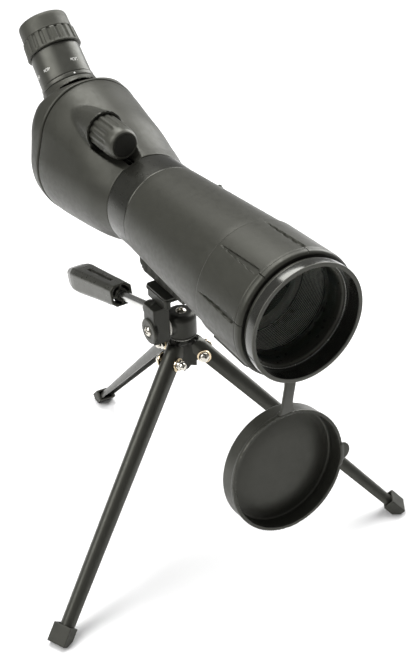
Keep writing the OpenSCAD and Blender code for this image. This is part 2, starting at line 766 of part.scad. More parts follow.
module objective_cap() {
  color("#3a3b36") place() on_cap() difference() {
    union() {
      rotate_extrude() polygon([[0, -12], [cap_r - 1.6, -12], [cap_r - 0.4, -11.2], [cap_r, -10],
        [cap_r, -0.3], [cap_r - 0.4, 0], [0, 0]]);
      translate([cap_r + 0.6, 0, -1.8]) cylinder(r = 4.4, h = 1.8);
      translate([cap_r - 2, -4.4, -1.8]) cube([2.6, 8.8, 1.8]);
    }
    translate([0, 0, -10.4]) cylinder(r = ring_r + 0.15, h = 12);
  }
}

// ---------- assembly ----------

hub();
leg(0);  // leg_1
leg(1);  // leg_2
leg(2);  // leg_3
boot(0);  // boot_1
boot(1);  // boot_2
boot(2);  // boot_3
pivot_bolts();
pivot_nuts();
pivot_washers();
pan_screw();
pan_washer();
pan_base();
tilt_bolt();
tilt_washer();
tilt_disc();
tilt_bracket();
platform_plate();
platform_pad();
handle_rod();
handle_grip();
camera_screw();
screw_wheel();
mount_foot();
foot_insert();
barrel_tube();
barrel_armour();
hood_armour();
front_ring();
objective_cell();
crown_lens();
flint_lens();
retainer_ring();
baffle_tube();
aperture_plates();
strap_lug();
collar();
prism_housing();
rear_cover();
prism_holder();
erecting_prism();
guide_rods();
focus_knob();
knob_cap();
focus_shaft();
focus_carriage();
focus_lens();
eyepiece_barrel();
field_stop();
index_ring();
zoom_sleeve();
zoom_grip();
zoom_cell_front();
zoom_cell_rear();
eye_lens();
eyecup();
tether_loop();
tether_strap();
objective_cap();
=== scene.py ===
"""A zoom spotting scope on its table tripod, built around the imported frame."""
import json
import math

import bpy
import numpy as np
from mathutils import Euler, Matrix, Vector


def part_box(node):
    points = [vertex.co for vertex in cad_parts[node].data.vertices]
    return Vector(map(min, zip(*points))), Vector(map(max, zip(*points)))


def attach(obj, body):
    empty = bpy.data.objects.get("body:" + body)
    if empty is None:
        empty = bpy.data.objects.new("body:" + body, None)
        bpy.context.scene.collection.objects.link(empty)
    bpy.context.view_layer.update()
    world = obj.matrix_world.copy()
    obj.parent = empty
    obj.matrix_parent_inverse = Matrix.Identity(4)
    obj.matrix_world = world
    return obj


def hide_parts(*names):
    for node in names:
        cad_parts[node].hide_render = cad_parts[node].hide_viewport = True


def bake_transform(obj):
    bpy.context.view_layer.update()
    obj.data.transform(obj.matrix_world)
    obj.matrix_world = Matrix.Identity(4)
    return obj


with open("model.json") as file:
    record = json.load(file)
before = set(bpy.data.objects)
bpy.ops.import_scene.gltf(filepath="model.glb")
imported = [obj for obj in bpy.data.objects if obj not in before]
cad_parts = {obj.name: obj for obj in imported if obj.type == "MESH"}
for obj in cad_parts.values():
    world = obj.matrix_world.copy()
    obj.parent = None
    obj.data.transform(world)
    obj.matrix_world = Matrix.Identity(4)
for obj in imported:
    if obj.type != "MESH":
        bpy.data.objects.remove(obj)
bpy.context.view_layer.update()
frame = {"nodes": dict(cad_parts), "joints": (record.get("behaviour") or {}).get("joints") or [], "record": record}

MM = 0.001
nodes = frame["nodes"]


# ---------- places, in millimetres from the pan axis on the floor ----------

def middle(node):
    low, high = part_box(node)
    return (low + high) / 2


def joint(name):
    return next(j for j in frame["joints"] if j["name"] == name)


PAN = Vector((middle("pan_washer").x, middle("pan_washer").y, 0))
AXIS_Z = middle("front_ring").z / MM
RIM_F = (PAN.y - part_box("front_ring")[0].y) / MM
GROOVE_F = RIM_F - 6.2
ARMOUR_F = GROOVE_F - 3
HOOD_F = (PAN.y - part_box("hood_armour")[1].y) / MM
SEAM_F = (PAN.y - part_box("barrel_armour")[1].y) / MM
SHELL_F = -33
SEAM_Y = 105
LENS_F = RIM_F - 10.7
LOOP_F = (GROOVE_F + ARMOUR_F) / 2
EYE_Y = 95.5
EYE_ANGLE = 45
CUP_TOP = 100.1
CUP_S = CUP_TOP - 10.5
GRIP_S = CUP_TOP - 22.3
INDEX_S = 53.4
SLEEVE_S = INDEX_S + 3.2
BARREL_R = 14
KNOB_X, KNOB_Z = middle("focus_knob").x / MM - PAN.x / MM, middle("focus_knob").z / MM
KNOB_R = 10.3
KNOB_BACK = 63.5
KNOB_LEN = 27
TILT_Z = 151.5
DECK_Z = 176
DECK_Y = 4
ARM_Z = 170
ARM_TOP = ARM_Z + 1.6
PLATE_LOW = DECK_Z - 3
SIDE_IN, SIDE_OUT = -11, -22
CHEEK_R = 8.2
HANDLE_X, HANDLE_Z, HANDLE_SLOPE = -16.5, 162.2, 15.5
HANDLE_NEAR, HANDLE_LEN = 38.6, 71
PAN_BOTTOM, PAN_TOP, PAN_R = 142, 158.3, 9.6
PIVOT_R, PIVOT_Z, FOOT_R = 14, 128.4, 140.5
LEG_TURNS = [-64, 56, 176]
SPLAY = math.degrees(math.atan((FOOT_R - PIVOT_R) / PIVOT_Z))
LEG_LEN = math.hypot(FOOT_R - PIVOT_R, PIVOT_Z)
LEG_W, LEG_BACK, LEG_FRONT, LEG_TOP, LEG_WALL = 11, 5.6, 3.4, 11, 1.1
FOOT_W, FOOT_BACK, FOOT_FRONT = LEG_W - 1.6, LEG_BACK - 1.2, LEG_FRONT - 2.8
HUB_TOP = 140.9
CAP_R, CAP_LEAN = 36.4, 8
CAP_AT = (-6.6, -125.5, 122.5)
TETHER_X = -5.6
STRAP_W, STRAP_T = 7, 1.8


def turn(degrees, axis):
    return Matrix.Rotation(math.radians(degrees), 4, axis)


def spot(x, y, z):
    return Matrix.Translation((x, y, z))


WORLD = Matrix.Identity(4)
SCOPE = spot(0, 0, AXIS_Z) @ turn(90, "X")
EYE = spot(0, EYE_Y, AXIS_Z) @ turn(-EYE_ANGLE, "X")
KNOB = spot(KNOB_X, KNOB_BACK, KNOB_Z) @ turn(90, "X")
HANDLE = spot(HANDLE_X, CHEEK_R, HANDLE_Z) @ turn(-HANDLE_SLOPE, "X") @ turn(-90, "X")
CAP = spot(*CAP_AT) @ turn(90 - CAP_LEAN, "X")
SIDE = spot(SIDE_OUT, 0, TILT_Z) @ turn(-90, "Y")


def leg_frame(degrees):
    return turn(degrees, "Z") @ spot(0, -PIVOT_R, PIVOT_Z) @ turn(-SPLAY, "X")


# ---------- meshes ----------

def volume(points, faces):
    """The volume that the faces close in, negative when they look inwards."""
    total = 0.0
    for count in {len(loop) for loop in faces}:
        corners = np.array(points)[np.array([loop for loop in faces if len(loop) == count])]
        for i in range(1, count - 1):
            total += np.einsum("ij,ij->", corners[:, 0], np.cross(corners[:, i], corners[:, i + 1]))
    return total / 6


def add(name, shapes, body, material, stands_for=(), sharp=38):
    """One piece from (points, faces, frame) shapes, whose points are in mm in their own frames."""
    points, faces = [], []
    for local, loops, where in shapes:
        start = len(points)
        if volume(local, loops) < 0:
            loops = [loop[::-1] for loop in loops]
        spin = np.array(where)
        world = local @ spin[:3, :3].T + spin[:3, 3]
        points.extend((world * MM + np.array(PAN)).tolist())
        faces.extend([tuple(start + i for i in loop) for loop in loops])
    mesh = bpy.data.meshes.new(name)
    mesh.from_pydata(points, [], faces)
    mesh.validate()
    mesh.shade_smooth()
    mesh.set_sharp_from_angle(angle=math.radians(sharp))
    mesh.materials.append(material)
    piece = bpy.data.objects.new(name, mesh)
    bpy.context.scene.collection.objects.link(piece)
    if body:
        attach(piece, body)
    if stands_for:
        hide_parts(*stands_for)
    return piece


def rounded(outline, radius, steps=4):
    """The closed outline with each corner rounded by an arc-like curve; a corner on the axis stays."""
    radii = radius if isinstance(radius, (list, tuple)) else [radius] * len(outline)
    out = []
    for i, here in enumerate(outline):
        before, after = np.array(outline[i - 1], float), np.array(outline[(i + 1) % len(outline)], float)
        here = np.array(here, float)
        to_before, to_after = before - here, after - here
        room = min(np.linalg.norm(to_before), np.linalg.norm(to_after)) * 0.45
        cut = min(radii[i], room)
        if cut < 1e-6 or here[0] < 1e-6:
            out.append(here)
            continue
        a = here + to_before / np.linalg.norm(to_before) * cut
        b = here + to_after / np.linalg.norm(to_after) * cut
        for k in range(steps + 1):
            t = k / steps
            out.append(a * (1 - t) ** 2 + here * 2 * t * (1 - t) + b * t * t)
    return np.array(out)


def finer(outline, step):
    """The closed outline with no edge longer than step."""
    out = []
    for i, here in enumerate(outline):
        after = outline[(i + 1) % len(outline)]
        count = max(1, int(math.ceil(np.linalg.norm(after - here) / step)))
        out.extend(here + (after - here) * k / count for k in range(count))
    return np.array(out)


def turned(outline, where, around=160, shape=None):
    """A closed outline of (radius, height) points turned about the frame's Z axis.
    shape(radius, height, angle) may change the radius; angle 0 is the frame's Y, 90 degrees its X."""
    rows = len(outline)
    angle = np.arange(around) * 2 * math.pi / around
    radius = np.repeat(outline[:, 0][:, None], around, 1)
    height = np.repeat(outline[:, 1][:, None], around, 1)
    if shape:
        radius = shape(radius, height, np.degrees(angle)[None, :])
    points = np.stack([radius * np.sin(angle), radius * np.cos(angle), height], -1).reshape(-1, 3)
    keep = np.arange(rows * around)
    on_axis = outline[:, 0] < 1e-6
    for i in range(rows):
        if on_axis[i]:
            keep[i * around:(i + 1) * around] = i * around
    faces = []
    for i in range(rows):
        j = (i + 1) % rows
        if on_axis[i] and on_axis[j]:
            continue
        for k in range(around):
            m = (k + 1) % around
            loop = [keep[i * around + k], keep[j * around + k], keep[j * around + m], keep[i * around + m]]
            faces.append([v for n, v in enumerate(loop) if v != loop[n - 1]])
    used = np.unique([v for loop in faces for v in loop])
    number = {old: new for new, old in enumerate(used)}
    return points[used], [[number[v] for v in loop] for loop in faces], where


def band(inner, outer, low, high, radius, steps=4):
    """A rounded rectangle between two radii and two heights."""
    return rounded([(inner, low), (outer, low), (outer, high), (inner, high)], radius, steps)


def lathed(name, outline, radius, around, material, node, where=SCOPE, body="scope"):
    """A turned piece from an outline with rounded corners."""
    return add(name, [turned(rounded(outline, radius), where, around)], body, material, [node])


CORNERS = [(i, j, k) for i in (0, 1) for j in (0, 1) for k in (0, 1)]


def net(solid, low, high, cell, where=WORLD):
    """The surface where solid(points) is zero, as quads, with its points moved onto that surface."""
    axes = [np.arange(low[i], high[i] + cell, cell) for i in range(3)]
    grid = np.stack(np.meshgrid(*axes, indexing="ij"), -1)
    value = solid(grid.reshape(-1, 3)).reshape(grid.shape[:3])
    value = np.where(np.abs(value) < 1e-7, 1e-7, value)
    size = [n - 1 for n in value.shape]
    window = {c: tuple(slice(c[i], c[i] + size[i]) for i in range(3)) for c in CORNERS}
    count = sum((value[window[c]] < 0).astype(int) for c in CORNERS)
    mixed = (count > 0) & (count < 8)
    number = -np.ones(size, int)
    number[mixed] = np.arange(mixed.sum())
    total, hits = np.zeros((mixed.sum(), 3)), np.zeros(mixed.sum())
    for a in CORNERS:
        for axis in range(3):
            if a[axis]:
                continue
            b = tuple(1 if i == axis else a[i] for i in range(3))
            va, vb = value[window[a]][mixed], value[window[b]][mixed]
            cross = (va < 0) != (vb < 0)
            t = np.where(cross, va / np.where(cross, va - vb, 1), 0)
            point = np.tile(np.array(a, float), (len(t), 1))
            point[:, axis] = t
            total[cross] += point[cross]
            hits += cross
    base = np.argwhere(mixed)
    points = (base + total / hits[:, None]) * cell + np.array(low)
    faces = []
    for axis in range(3):
        u, v = (axis + 1) % 3, (axis + 2) % 3
        ahead = np.roll(value, -1, axis)
        change = (value < 0) != (ahead < 0)
        index = np.argwhere(change)
        for i in range(3):
            top = value.shape[i] - 1
            index = index[(index[:, i] < top) & ((index[:, i] > 0) if i != axis else True)]
        du, dv = np.zeros(3, int), np.zeros(3, int)
        du[u], dv[v] = 1, 1
        ring = [index, index - du, index - du - dv, index - dv]
        loops = np.stack([number[tuple(r.T)] for r in ring], 1)
        flip = value[tuple(index.T)] < 0
        loops[~flip] = loops[~flip][:, ::-1]
        faces.extend(loops.tolist())
    nudge = cell * 0.02
    for _ in range(4):
        here = solid(points)
        slope = np.stack([(solid(points + d) - here) / nudge for d in np.eye(3) * nudge], -1)
        length = np.maximum((slope ** 2).sum(-1), 0.2)
        move = -(here / length)[:, None] * slope
        far = np.linalg.norm(move, axis=1)
        points = points + move * np.minimum(1, cell * 0.4 / np.maximum(far, 1e-9))[:, None]
    return points, faces, where


# ---------- solids, as signed distances ----------

def smooth_min(a, b, k):
    h = np.maximum(k - np.abs(a - b), 0) / k
    return np.minimum(a, b) - h * h * k / 4


def smooth_max(a, b, k):
    return -smooth_min(-a, -b, k)


def block(p, low, high, edge=0.0):
    """A box between two corners with rounded edges."""
    low, high = np.array(low, float), np.array(high, float)
    q = np.abs(p - (low + high) / 2) - (high - low) / 2 + edge
    return np.linalg.norm(np.maximum(q, 0), axis=1) + np.minimum(q.max(1), 0) - edge


def rod(p, a, b, r, edge=0.0, r_end=None):
    """A rod from a to b with rounded rims; it tapers when r_end is given."""
    a, b = np.array(a, float), np.array(b, float)
    length = np.linalg.norm(b - a)
    way = (b - a) / length
    along = (p - a) @ way
    out = np.linalg.norm((p - a) - along[:, None] * way, axis=1)
    wide = r if r_end is None else r + (r_end - r) * np.clip(along / length, 0, 1)
    q = np.stack([out - wide + edge, np.abs(along - length / 2) - length / 2 + edge], 1)
    return np.linalg.norm(np.maximum(q, 0), axis=1) + np.minimum(q.max(1), 0) - edge


def into(where, p):
    """Points of the pan frame, seen in another frame."""
    back = np.array(where.inverted())
    return p @ back[:3, :3].T + back[:3, 3]


def eased(x, knots, values):
    """A smooth curve through values at knots, flat past both ends."""
    s = np.gradient(values, knots)
    x = np.clip(x, knots[0], knots[-1])
    i = np.clip(np.searchsorted(knots, x) - 1, 0, len(knots) - 2)
    k, v = np.array(knots, float), np.array(values, float)
    w = k[i + 1] - k[i]
    t = (x - k[i]) / w
    return ((2 * t ** 3 - 3 * t ** 2 + 1) * v[i] + (t ** 3 - 2 * t ** 2 + t) * w * s[i]
            + (3 * t ** 2 - 2 * t ** 3) * v[i + 1] + (t ** 3 - t ** 2) * w * s[i + 1])


def egg(p, lower, upper, rise):
    """Distance to the housing's section: a lower and a smaller upper circle and their tangents."""
    x, z = np.abs(p[:, 0]), p[:, 2] - AXIS_Z
    rise = np.maximum(rise, lower - upper + 0.4)
    lean = (lower - upper) / rise
    side = np.sqrt(1 - lean ** 2)
    k = -lean * x + side * z
    return np.where(k < 0, np.hypot(x, z) - lower,
                    np.where(k > side * rise, np.hypot(x, z - rise) - upper, x * side + z * lean - lower))


STATIONS = [33, 49, 63, 80, 105, 121]
LOWER = [28.6, 33, 35.3, 37.4, 39.3, 37.9]
UPPER = [28.4, 31, 32.6, 33.6, 35.5, 36.3]
RISE = [0, 3.5, 7.6, 11.5, 16, 16]


def housing_section(p, grow):
    y = p[:, 1]
    lower, upper = eased(y, STATIONS, LOWER), eased(y, STATIONS, UPPER)
    return egg(p, lower + grow, upper + grow, eased(y, STATIONS, RISE))


# ---------- materials ----------

def material(name, colour, rough, metal=0.0, grain=0.02, grain_size=0.4, patch=0.12, scratch=0.0,
             specular=0.5, coat=0.0):
    """A procedural finish: colour that varies softly, a fine grain and faint scratches.
    grain is the bump's height in mm and grain_size its width in mm."""
    made = bpy.data.materials.new(name)
    made.use_nodes = True
    tree = made.node_tree
    shader = tree.nodes["Principled BSDF"]
    shader.inputs["Metallic"].default_value = metal
    shader.inputs["Specular IOR Level"].default_value = specular
    if not metal:
        shader.inputs["Specular Tint"].default_value = (1, 1, 0.88, 1)
    shader.inputs["Coat Weight"].default_value = coat
    shader.inputs["Coat Roughness"].default_value = 0.15
    place = tree.nodes.new("ShaderNodeTexCoord").outputs["Object"]

    def noise(width, detail=3.0, stretch=None):
        spots = tree.nodes.new("ShaderNodeTexNoise")
        spots.inputs["Scale"].default_value = 1 / (width * MM)
        spots.inputs["Detail"].default_value = detail
        source = place
        if stretch:
            mapping = tree.nodes.new("ShaderNodeMapping")
            mapping.inputs["Scale"].default_value = stretch
            tree.links.new(place, mapping.inputs["Vector"])
            source = mapping.outputs["Vector"]
        tree.links.new(source, spots.inputs["Vector"])
        return spots.outputs["Fac"]

    def ramp(fac, low, high, start=0.3, end=0.7):
        node = tree.nodes.new("ShaderNodeMapRange")
        node.inputs["From Min"].default_value = start
        node.inputs["From Max"].default_value = end
        node.inputs["To Min"].default_value = low
        node.inputs["To Max"].default_value = high
        tree.links.new(fac, node.inputs["Value"])
        return node.outputs["Result"]

    dark = tuple(c * (1 - patch) for c in colour)
    pale = tuple(c * (1 + patch) for c in colour)
    mix = tree.nodes.new("ShaderNodeMix")
    mix.data_type = "RGBA"
    mix.inputs["A"].default_value, mix.inputs["B"].default_value = (*dark, 1), (*pale, 1)
    tree.links.new(ramp(noise(9.0), 0, 1), mix.inputs["Factor"])
    tree.links.new(mix.outputs["Result"], shader.inputs["Base Color"])
    tree.links.new(ramp(noise(3.0), rough * 0.88, min(1.0, rough * 1.12)), shader.inputs["Roughness"])
    normal = None
    if grain:
        bump = tree.nodes.new("ShaderNodeBump")
        bump.inputs["Strength"].default_value = 0.6
        bump.inputs["Distance"].default_value = grain * MM
        tree.links.new(noise(grain_size, 2.0), bump.inputs["Height"])
        normal = bump.outputs["Normal"]
    if scratch:
        lines = tree.nodes.new("ShaderNodeBump")
        lines.inputs["Strength"].default_value = scratch
        lines.inputs["Distance"].default_value = 0.02 * MM
        tree.links.new(noise(0.5, 2.0, (1, 1, 14)), lines.inputs["Height"])
        if normal:
            tree.links.new(normal, lines.inputs["Normal"])
        normal = lines.outputs["Normal"]
    if normal:
        tree.links.new(normal, shader.inputs["Normal"])
    return made


def glass(name, colour, clear):
    """Coated optical glass: a smooth dark sheen that lets the parts behind it show through."""
    made = material(name, colour, 0.05, patch=0.3, grain=0)
    shader = made.node_tree.nodes["Principled BSDF"]
    shader.inputs["IOR"].default_value = 1.52
    shader.inputs["Alpha"].default_value = 1 - clear
    return made


OLIVE = (0.027, 0.027, 0.022)
RUBBER = material("rubber_armour", OLIVE, 0.42, patch=0.06, specular=0.38)
EYE_RUBBER = material("eyepiece_rubber", (0.034, 0.034, 0.028), 0.5, grain=0.03, grain_size=0.35, patch=0.08)
KNOB_RUBBER = material("knob_rubber", (0.034, 0.034, 0.028), 0.4, grain_size=0.35, patch=0.08)
KNOB_FACE = material("knob_face", (0.010, 0.010, 0.009), 0.5, grain_size=0.25)
COLLAR_FINISH = material("collar_plastic", (0.011, 0.011, 0.009), 0.3, grain=0.01, grain_size=0.3)
SATIN = material("satin_sleeve", (0.036, 0.036, 0.031), 0.36, grain=0.01, grain_size=0.22, patch=0.05)
GLOSS = material("front_ring_gloss", (0.016, 0.016, 0.014), 0.17, grain=0.004, grain_size=1.2, coat=0.4)
RIM_MATT = material("front_rim_matt", (0.085, 0.085, 0.075), 0.6, grain_size=0.3, patch=0.06)
BLACK = material("head_black", (0.014, 0.014, 0.012), 0.42, specular=0.4)
HUB_BLACK = material("hub_black", (0.011, 0.011, 0.0095), 0.46, specular=0.35)
FOOT_PLASTIC = material("foot_plastic", (0.030, 0.030, 0.025), 0.45, grain_size=0.35)
GRIP_PLASTIC = material("grip_plastic", (0.036, 0.036, 0.030), 0.3, grain=0.003, patch=0.08)
LEG_PAINT = material("leg_paint", (0.026, 0.026, 0.022), 0.38, grain=0.008, patch=0.08)
BOOT_RUBBER = material("boot_rubber", (0.040, 0.040, 0.035), 0.6, grain=0.03, grain_size=0.35, specular=0.3)
DECK_RUBBER = material("deck_rubber", (0.008, 0.008, 0.007), 0.35)
NICKEL = material("nickel", (0.70, 0.67, 0.60), 0.14, metal=1, grain=0.004, grain_size=0.6, scratch=0.1)
GILT = material("gilt_washer", (0.70, 0.58, 0.40), 0.22, metal=1, grain=0.004, grain_size=0.6, scratch=0.1)
STEEL = material("bright_steel", (0.56, 0.56, 0.54), 0.2, metal=1, grain=0.004, grain_size=0.8, scratch=0.15)
NYLON = material("nylon", (0.72, 0.70, 0.64), 0.5, grain_size=0.5)
BRASS = material("brass", (0.62, 0.47, 0.20), 0.3, metal=1, grain=0.01, grain_size=0.5, scratch=0.2)
INNER = material("inner_black", (0.006, 0.006, 0.0055), 0.55, grain=0)
BAFFLE = material("baffle_black", (0.05, 0.05, 0.042), 0.3, grain=0)
# Pale colour for the baffle ridge crests: a painted highlight where light catches the edges.
RIDGE_PAINTED_HIGHLIGHT = material("ridge_painted_highlight", (0.72, 0.72, 0.64), 0.4, grain=0)
# Pale grey for the baffle stop: painted light standing in for light inside the tube.
STOP_PAINTED_LIGHT = material("stop_painted_light", (0.26, 0.26, 0.22), 0.45, grain=0)
RETAINER = material("retainer_edge", (0.45, 0.45, 0.42), 0.25, metal=0.8, grain=0)
CAP_FINISH = material("cap_rubber", (0.026, 0.026, 0.0215), 0.42, patch=0.06)
MARK = material("white_mark", (0.75, 0.75, 0.72), 0.5, grain=0.01, grain_size=0.3, patch=0.04)
FRONT_GLASS = glass("coated_glass", (0.010, 0.026, 0.022), 0.95)
INNER_GLASS = glass("inner_glass", (0.012, 0.022, 0.020), 0.96)


# ---------- scope: barrel ----------

def barrel():
    outline = [(27.3, SEAM_F), (29.4, SEAM_F), (34.9, HOOD_F - 0.1), (33.1, HOOD_F - 0.1)]
    body = turned(finer(rounded(outline, [0.1, 0.6, 0.5, 0.1]), 6), SCOPE, 240)
    add("barrel_rubber", [body], "scope", RUBBER, ["barrel_armour"])


def hood():
    pitch, first, deep, half = 45, 10.0, 1.35, 1.8
    rear, front = HOOD_F + 2.2, ARMOUR_F - 7.5
    band = ARMOUR_F - 4.2
    rest_at, rest_rear, rest_front = 222, HOOD_F + 1.5, HOOD_F + 33.5

    def shape(radius, height, degrees):
        away = np.abs((degrees - first + pitch / 2) % pitch - pitch / 2) * math.pi / 180 * radius
        t = np.clip((height - rear) / (front - rear), 0, 1)
        tip = np.sqrt(np.clip((front + half - height) / (2 * half), 0, 1))
        width = half * t ** 0.75 * np.minimum(1, tip * 1.3)
        dip = np.clip((width - away) / 0.32 + 0.5, 0, 1)
        dip = dip * dip * (3 - 2 * dip) * (t > 0) * (radius > 35)
        line = np.exp(-((height - band) / 0.3) ** 2) * 0.28 * (radius > 35.5)
        side = np.clip((2.2 - np.abs(degrees - rest_at) * math.pi / 180 * radius) / 0.5, 0, 1)
        ends = np.clip((height - rest_rear) / 0.6, 0, 1) * np.clip((rest_front - height) / 0.6, 0, 1)
        return radius - dip * deep * np.clip(t * 5, 0, 1) - line + side * ends * (radius > 35) * 1.4

    outline = rounded([(33.4, HOOD_F), (35.1, HOOD_F), (35.7, HOOD_F + 0.8), (36.8, ARMOUR_F - 3),
                       (36.4, ARMOUR_F - 1.1), (35.3, ARMOUR_F), (34.7, ARMOUR_F),
                       (34.7, HOOD_F + 6.1)], [0.1, 0.4, 0.6, 1, 0.8, 0.4, 0.1, 0.1])
    body = turned(finer(outline, 0.42), SCOPE, 720, shape)
    add("hood_rubber", [body], "scope", RUBBER, ["hood_armour"], sharp=60)


def front_end():
    face = RIM_F - 0.5
    ring = [(31.7, LENS_F - 15), (32.9, LENS_F - 15), (32.9, GROOVE_F), (34.6, GROOVE_F), (34.6, face),
            (32.2, face), (32.2, LENS_F), (31.7, LENS_F)]
    lathed("front_ring_turned", ring, [0.1, 0.1, 0.1, 0.3, 0.1, 0.1, 0.1, 0.1], 240, GLOSS, "front_ring")
    rim = [(32.25, face - 0.05), (34.55, face - 0.05), (34.5, RIM_F), (32.25, RIM_F)]
    lathed("front_rim_face", rim, [0, 0.1, 0.35, 0.3], 240, RIM_MATT, "front_ring")
    retainer = [(29.2, LENS_F - 1.4), (31.6, LENS_F - 1.4), (31.6, LENS_F - 0.1), (29.9, LENS_F - 0.1)]
    lathed("lens_retainer", retainer, 0.25, 200, BAFFLE, "retainer_ring")
    edge = [(31.25, LENS_F), (31.65, LENS_F), (31.65, LENS_F + 0.35), (31.4, LENS_F + 0.35)]
    lathed("retainer_edge", edge, 0.08, 240, RETAINER, "retainer_ring")
    cell = [(28, LENS_F - 14.5), (31.6, LENS_F - 14.5), (31.6, LENS_F - 1.5), (30.1, LENS_F - 1.5),
            (30.1, LENS_F - 13), (28, LENS_F - 13)]
    lathed("lens_cell", cell, 0.2, 200, BAFFLE, "objective_cell")


def lens_shape(radius, edge, bow_front, bow_back, middle_z, steps=16):
    def sag(x, bow):
        ball = (radius ** 2 + bow ** 2) / (2 * abs(bow))
        return (math.sqrt(ball ** 2 - x ** 2) - ball + abs(bow)) * (1 if bow > 0 else -1)
    xs = [radius * k / steps for k in range(steps + 1)]
    back = [(x, middle_z - edge / 2 - sag(x, bow_back)) for x in xs]
    front = [(x, middle_z + edge / 2 + sag(x, bow_front)) for x in reversed(xs)]
    return np.array(back + front)


def objective_lenses():
    crown = turned(lens_shape(30.05, 2.4, 2.2, 2.2, LENS_F - 5.6), SCOPE, 128)
    add("crown_glass", [crown], "scope", FRONT_GLASS, ["crown_lens"])


def baffles():
    ribs, pitch = 17, 1.15
    low = LENS_F - 15.6 - ribs * pitch
    teeth = []
    for k in reversed(range(ribs)):
        base = low + k * pitch
        teeth += [(30.4, base + 1.1), (29.6, base + 0.75), (29.6, base + 0.5)]
    outline = [(31.2, low - 16), (31.2, LENS_F - 15.1), (30.4, LENS_F - 15.1)]
    outline += teeth + [(30.4, low - 16)]
    add("baffle_rings", [turned(np.array(outline), SCOPE, 200)], "scope", BAFFLE, ["baffle_tube"], sharp=20)
    # Thin pale bands on the ridge crests: painted highlights on the black baffles.
    crests = []
    for k in range(ribs):
        crest = band(29.5, 29.66, low + k * pitch + 0.48, low + k * pitch + 0.77, 0.05, 2)
        crests.append(turned(crest, SCOPE, 160))
    add("baffle_crest_highlights", crests, "scope", RIDGE_PAINTED_HIGHLIGHT, ["baffle_tube"])
    # The stop ring takes a pale grey that paints in the light inside the tube.
    stop = [(25.6, low - 4.5), (30.3, low - 4.5), (30.3, low - 1.2), (26.4, low - 1.2), (25.6, low - 2.6)]
    lathed("baffle_stop", stop, 0.2, 200, STOP_PAINTED_LIGHT, "baffle_tube")


def collar():
    outline = [(26.3, SHELL_F + 0.05), (28.5, SHELL_F + 0.05), (28.9, SHELL_F + 0.8), (29.1, SEAM_F - 1),
               (28.7, SEAM_F - 0.2), (26.3, SEAM_F - 0.2)]
    lathed("collar_band", outline, 0.3, 240, COLLAR_FINISH, "collar")


def lug():
    lean = turn(-65, "Z")

    def solid(p):
        q = into(SCOPE @ lean, p)
        ring = rod(q, (-1.1, 31.8, 0), (1.1, 31.8, 0), 2.3, 0.5)
        stem = block(q, (-1.1, 29, -2.3), (1.1, 31.8, 2.3), 0.5)
        body = smooth_min(ring, stem, 1)
        body = smooth_max(body, -rod(q, (-3, 31.8, 0), (3, 31.8, 0), 1.1), 0.4)
        return np.maximum(body, 29.9 - np.hypot(q[:, 0], q[:, 1]))
    centre = SCOPE @ lean @ Vector((0, 31.2, 0))
    reach = Vector((4.5, 4.5, 4.5))
    add("strap_eye", [net(solid, centre - reach, centre + reach, 0.3)], "scope", FOOT_PLASTIC, ["strap_lug"])


# ---------- scope: housing ----------

def housing():
    wall, trough = 2.4, KNOB_R + 2.1
    low_x, low_z = KNOB_X - 0.7, KNOB_Z - 0.6

    def solid(p):
        body = housing_section(p, 0)
        tail = rod(p, (KNOB_X, KNOB_BACK - 2.5, KNOB_Z), (KNOB_X - 2.5, 101, KNOB_Z - 0.5), KNOB_R + 2.2,
                   0.5, 4.2)
        body = smooth_min(body, tail, 1.6)
        body = smooth_max(body, p[:, 1] - (SEAM_Y - 0.15), 1.3)
        body = smooth_max(body, 33 - p[:, 1], 0.6)
        groove = rod(p, (low_x, 25, low_z), (low_x, KNOB_BACK - 2.5, low_z), trough, 0.3)
        recess = rod(p, (KNOB_X, 50, KNOB_Z), (KNOB_X, KNOB_BACK + 0.9, KNOB_Z), KNOB_R + 0.35)
        groove = np.minimum(groove, recess)
        body = smooth_max(body, -groove, 0.5)
        inner = np.maximum(housing_section(p, -wall), 36 - p[:, 1])
        inner = np.maximum(inner, -rod(p, (low_x, 25, low_z), (low_x, KNOB_BACK + 4, low_z), trough + 1.2))
        bore = rod(p, (0, 30, AXIS_Z), (0, 110, AXIS_Z), 26.4)
        shaft = rod(p, (KNOB_X, 30, KNOB_Z), (KNOB_X, KNOB_BACK + 12, KNOB_Z), 2.7)
        shaft = np.minimum(shaft, rod(p, (KNOB_X, 71, KNOB_Z), (KNOB_X, 88, KNOB_Z), 5.1))
        return np.maximum(body, -np.minimum(np.minimum(inner, bore), shaft))
    shell = net(solid, (-43, 31.5, AXIS_Z - 42), (43, 107, AXIS_Z + 54), 0.85)
    add("housing_shell", [shell], "scope", RUBBER, ["prism_housing"], sharp=50)


def rear():
    wall, deep = 2.6, 14

    def dome(p, grow):
        side = housing_section(p, 0.55 + grow) + deep
        end = p[:, 1] - (127.2 + grow) + deep
        return np.minimum(np.maximum(side, end), 0) + np.hypot(np.maximum(side, 0), np.maximum(end, 0)) - deep

    def solid(p):
        q = into(EYE, p)
        out = np.hypot(q[:, 0], q[:, 1])
        base = rod(q, (0, 0, 20), (0, 0, INDEX_S - 0.1), 21.2, 0.5, 18.0)
        shoulder = smooth_max(dome(p, 0), q[:, 2] - 46.2, 4.5)
        body = smooth_min(shoulder, base, 8)
        lip = SEAM_Y + 0.05 - p[:, 1]
        body = smooth_max(body, lip, 1.3)
        inner = np.maximum(dome(p, -wall), SEAM_Y - 2 - p[:, 1])
        bore = np.maximum(out - (BARREL_R + 0.15), -q[:, 2] - 20)
        return np.maximum(body, -np.minimum(inner, bore))
    cover = net(solid, (-43, 103.5, AXIS_Z - 42), (43, 152, AXIS_Z + 64), 0.85)
    add("rear_shell", [cover], "scope", RUBBER, ["rear_cover"], sharp=50)


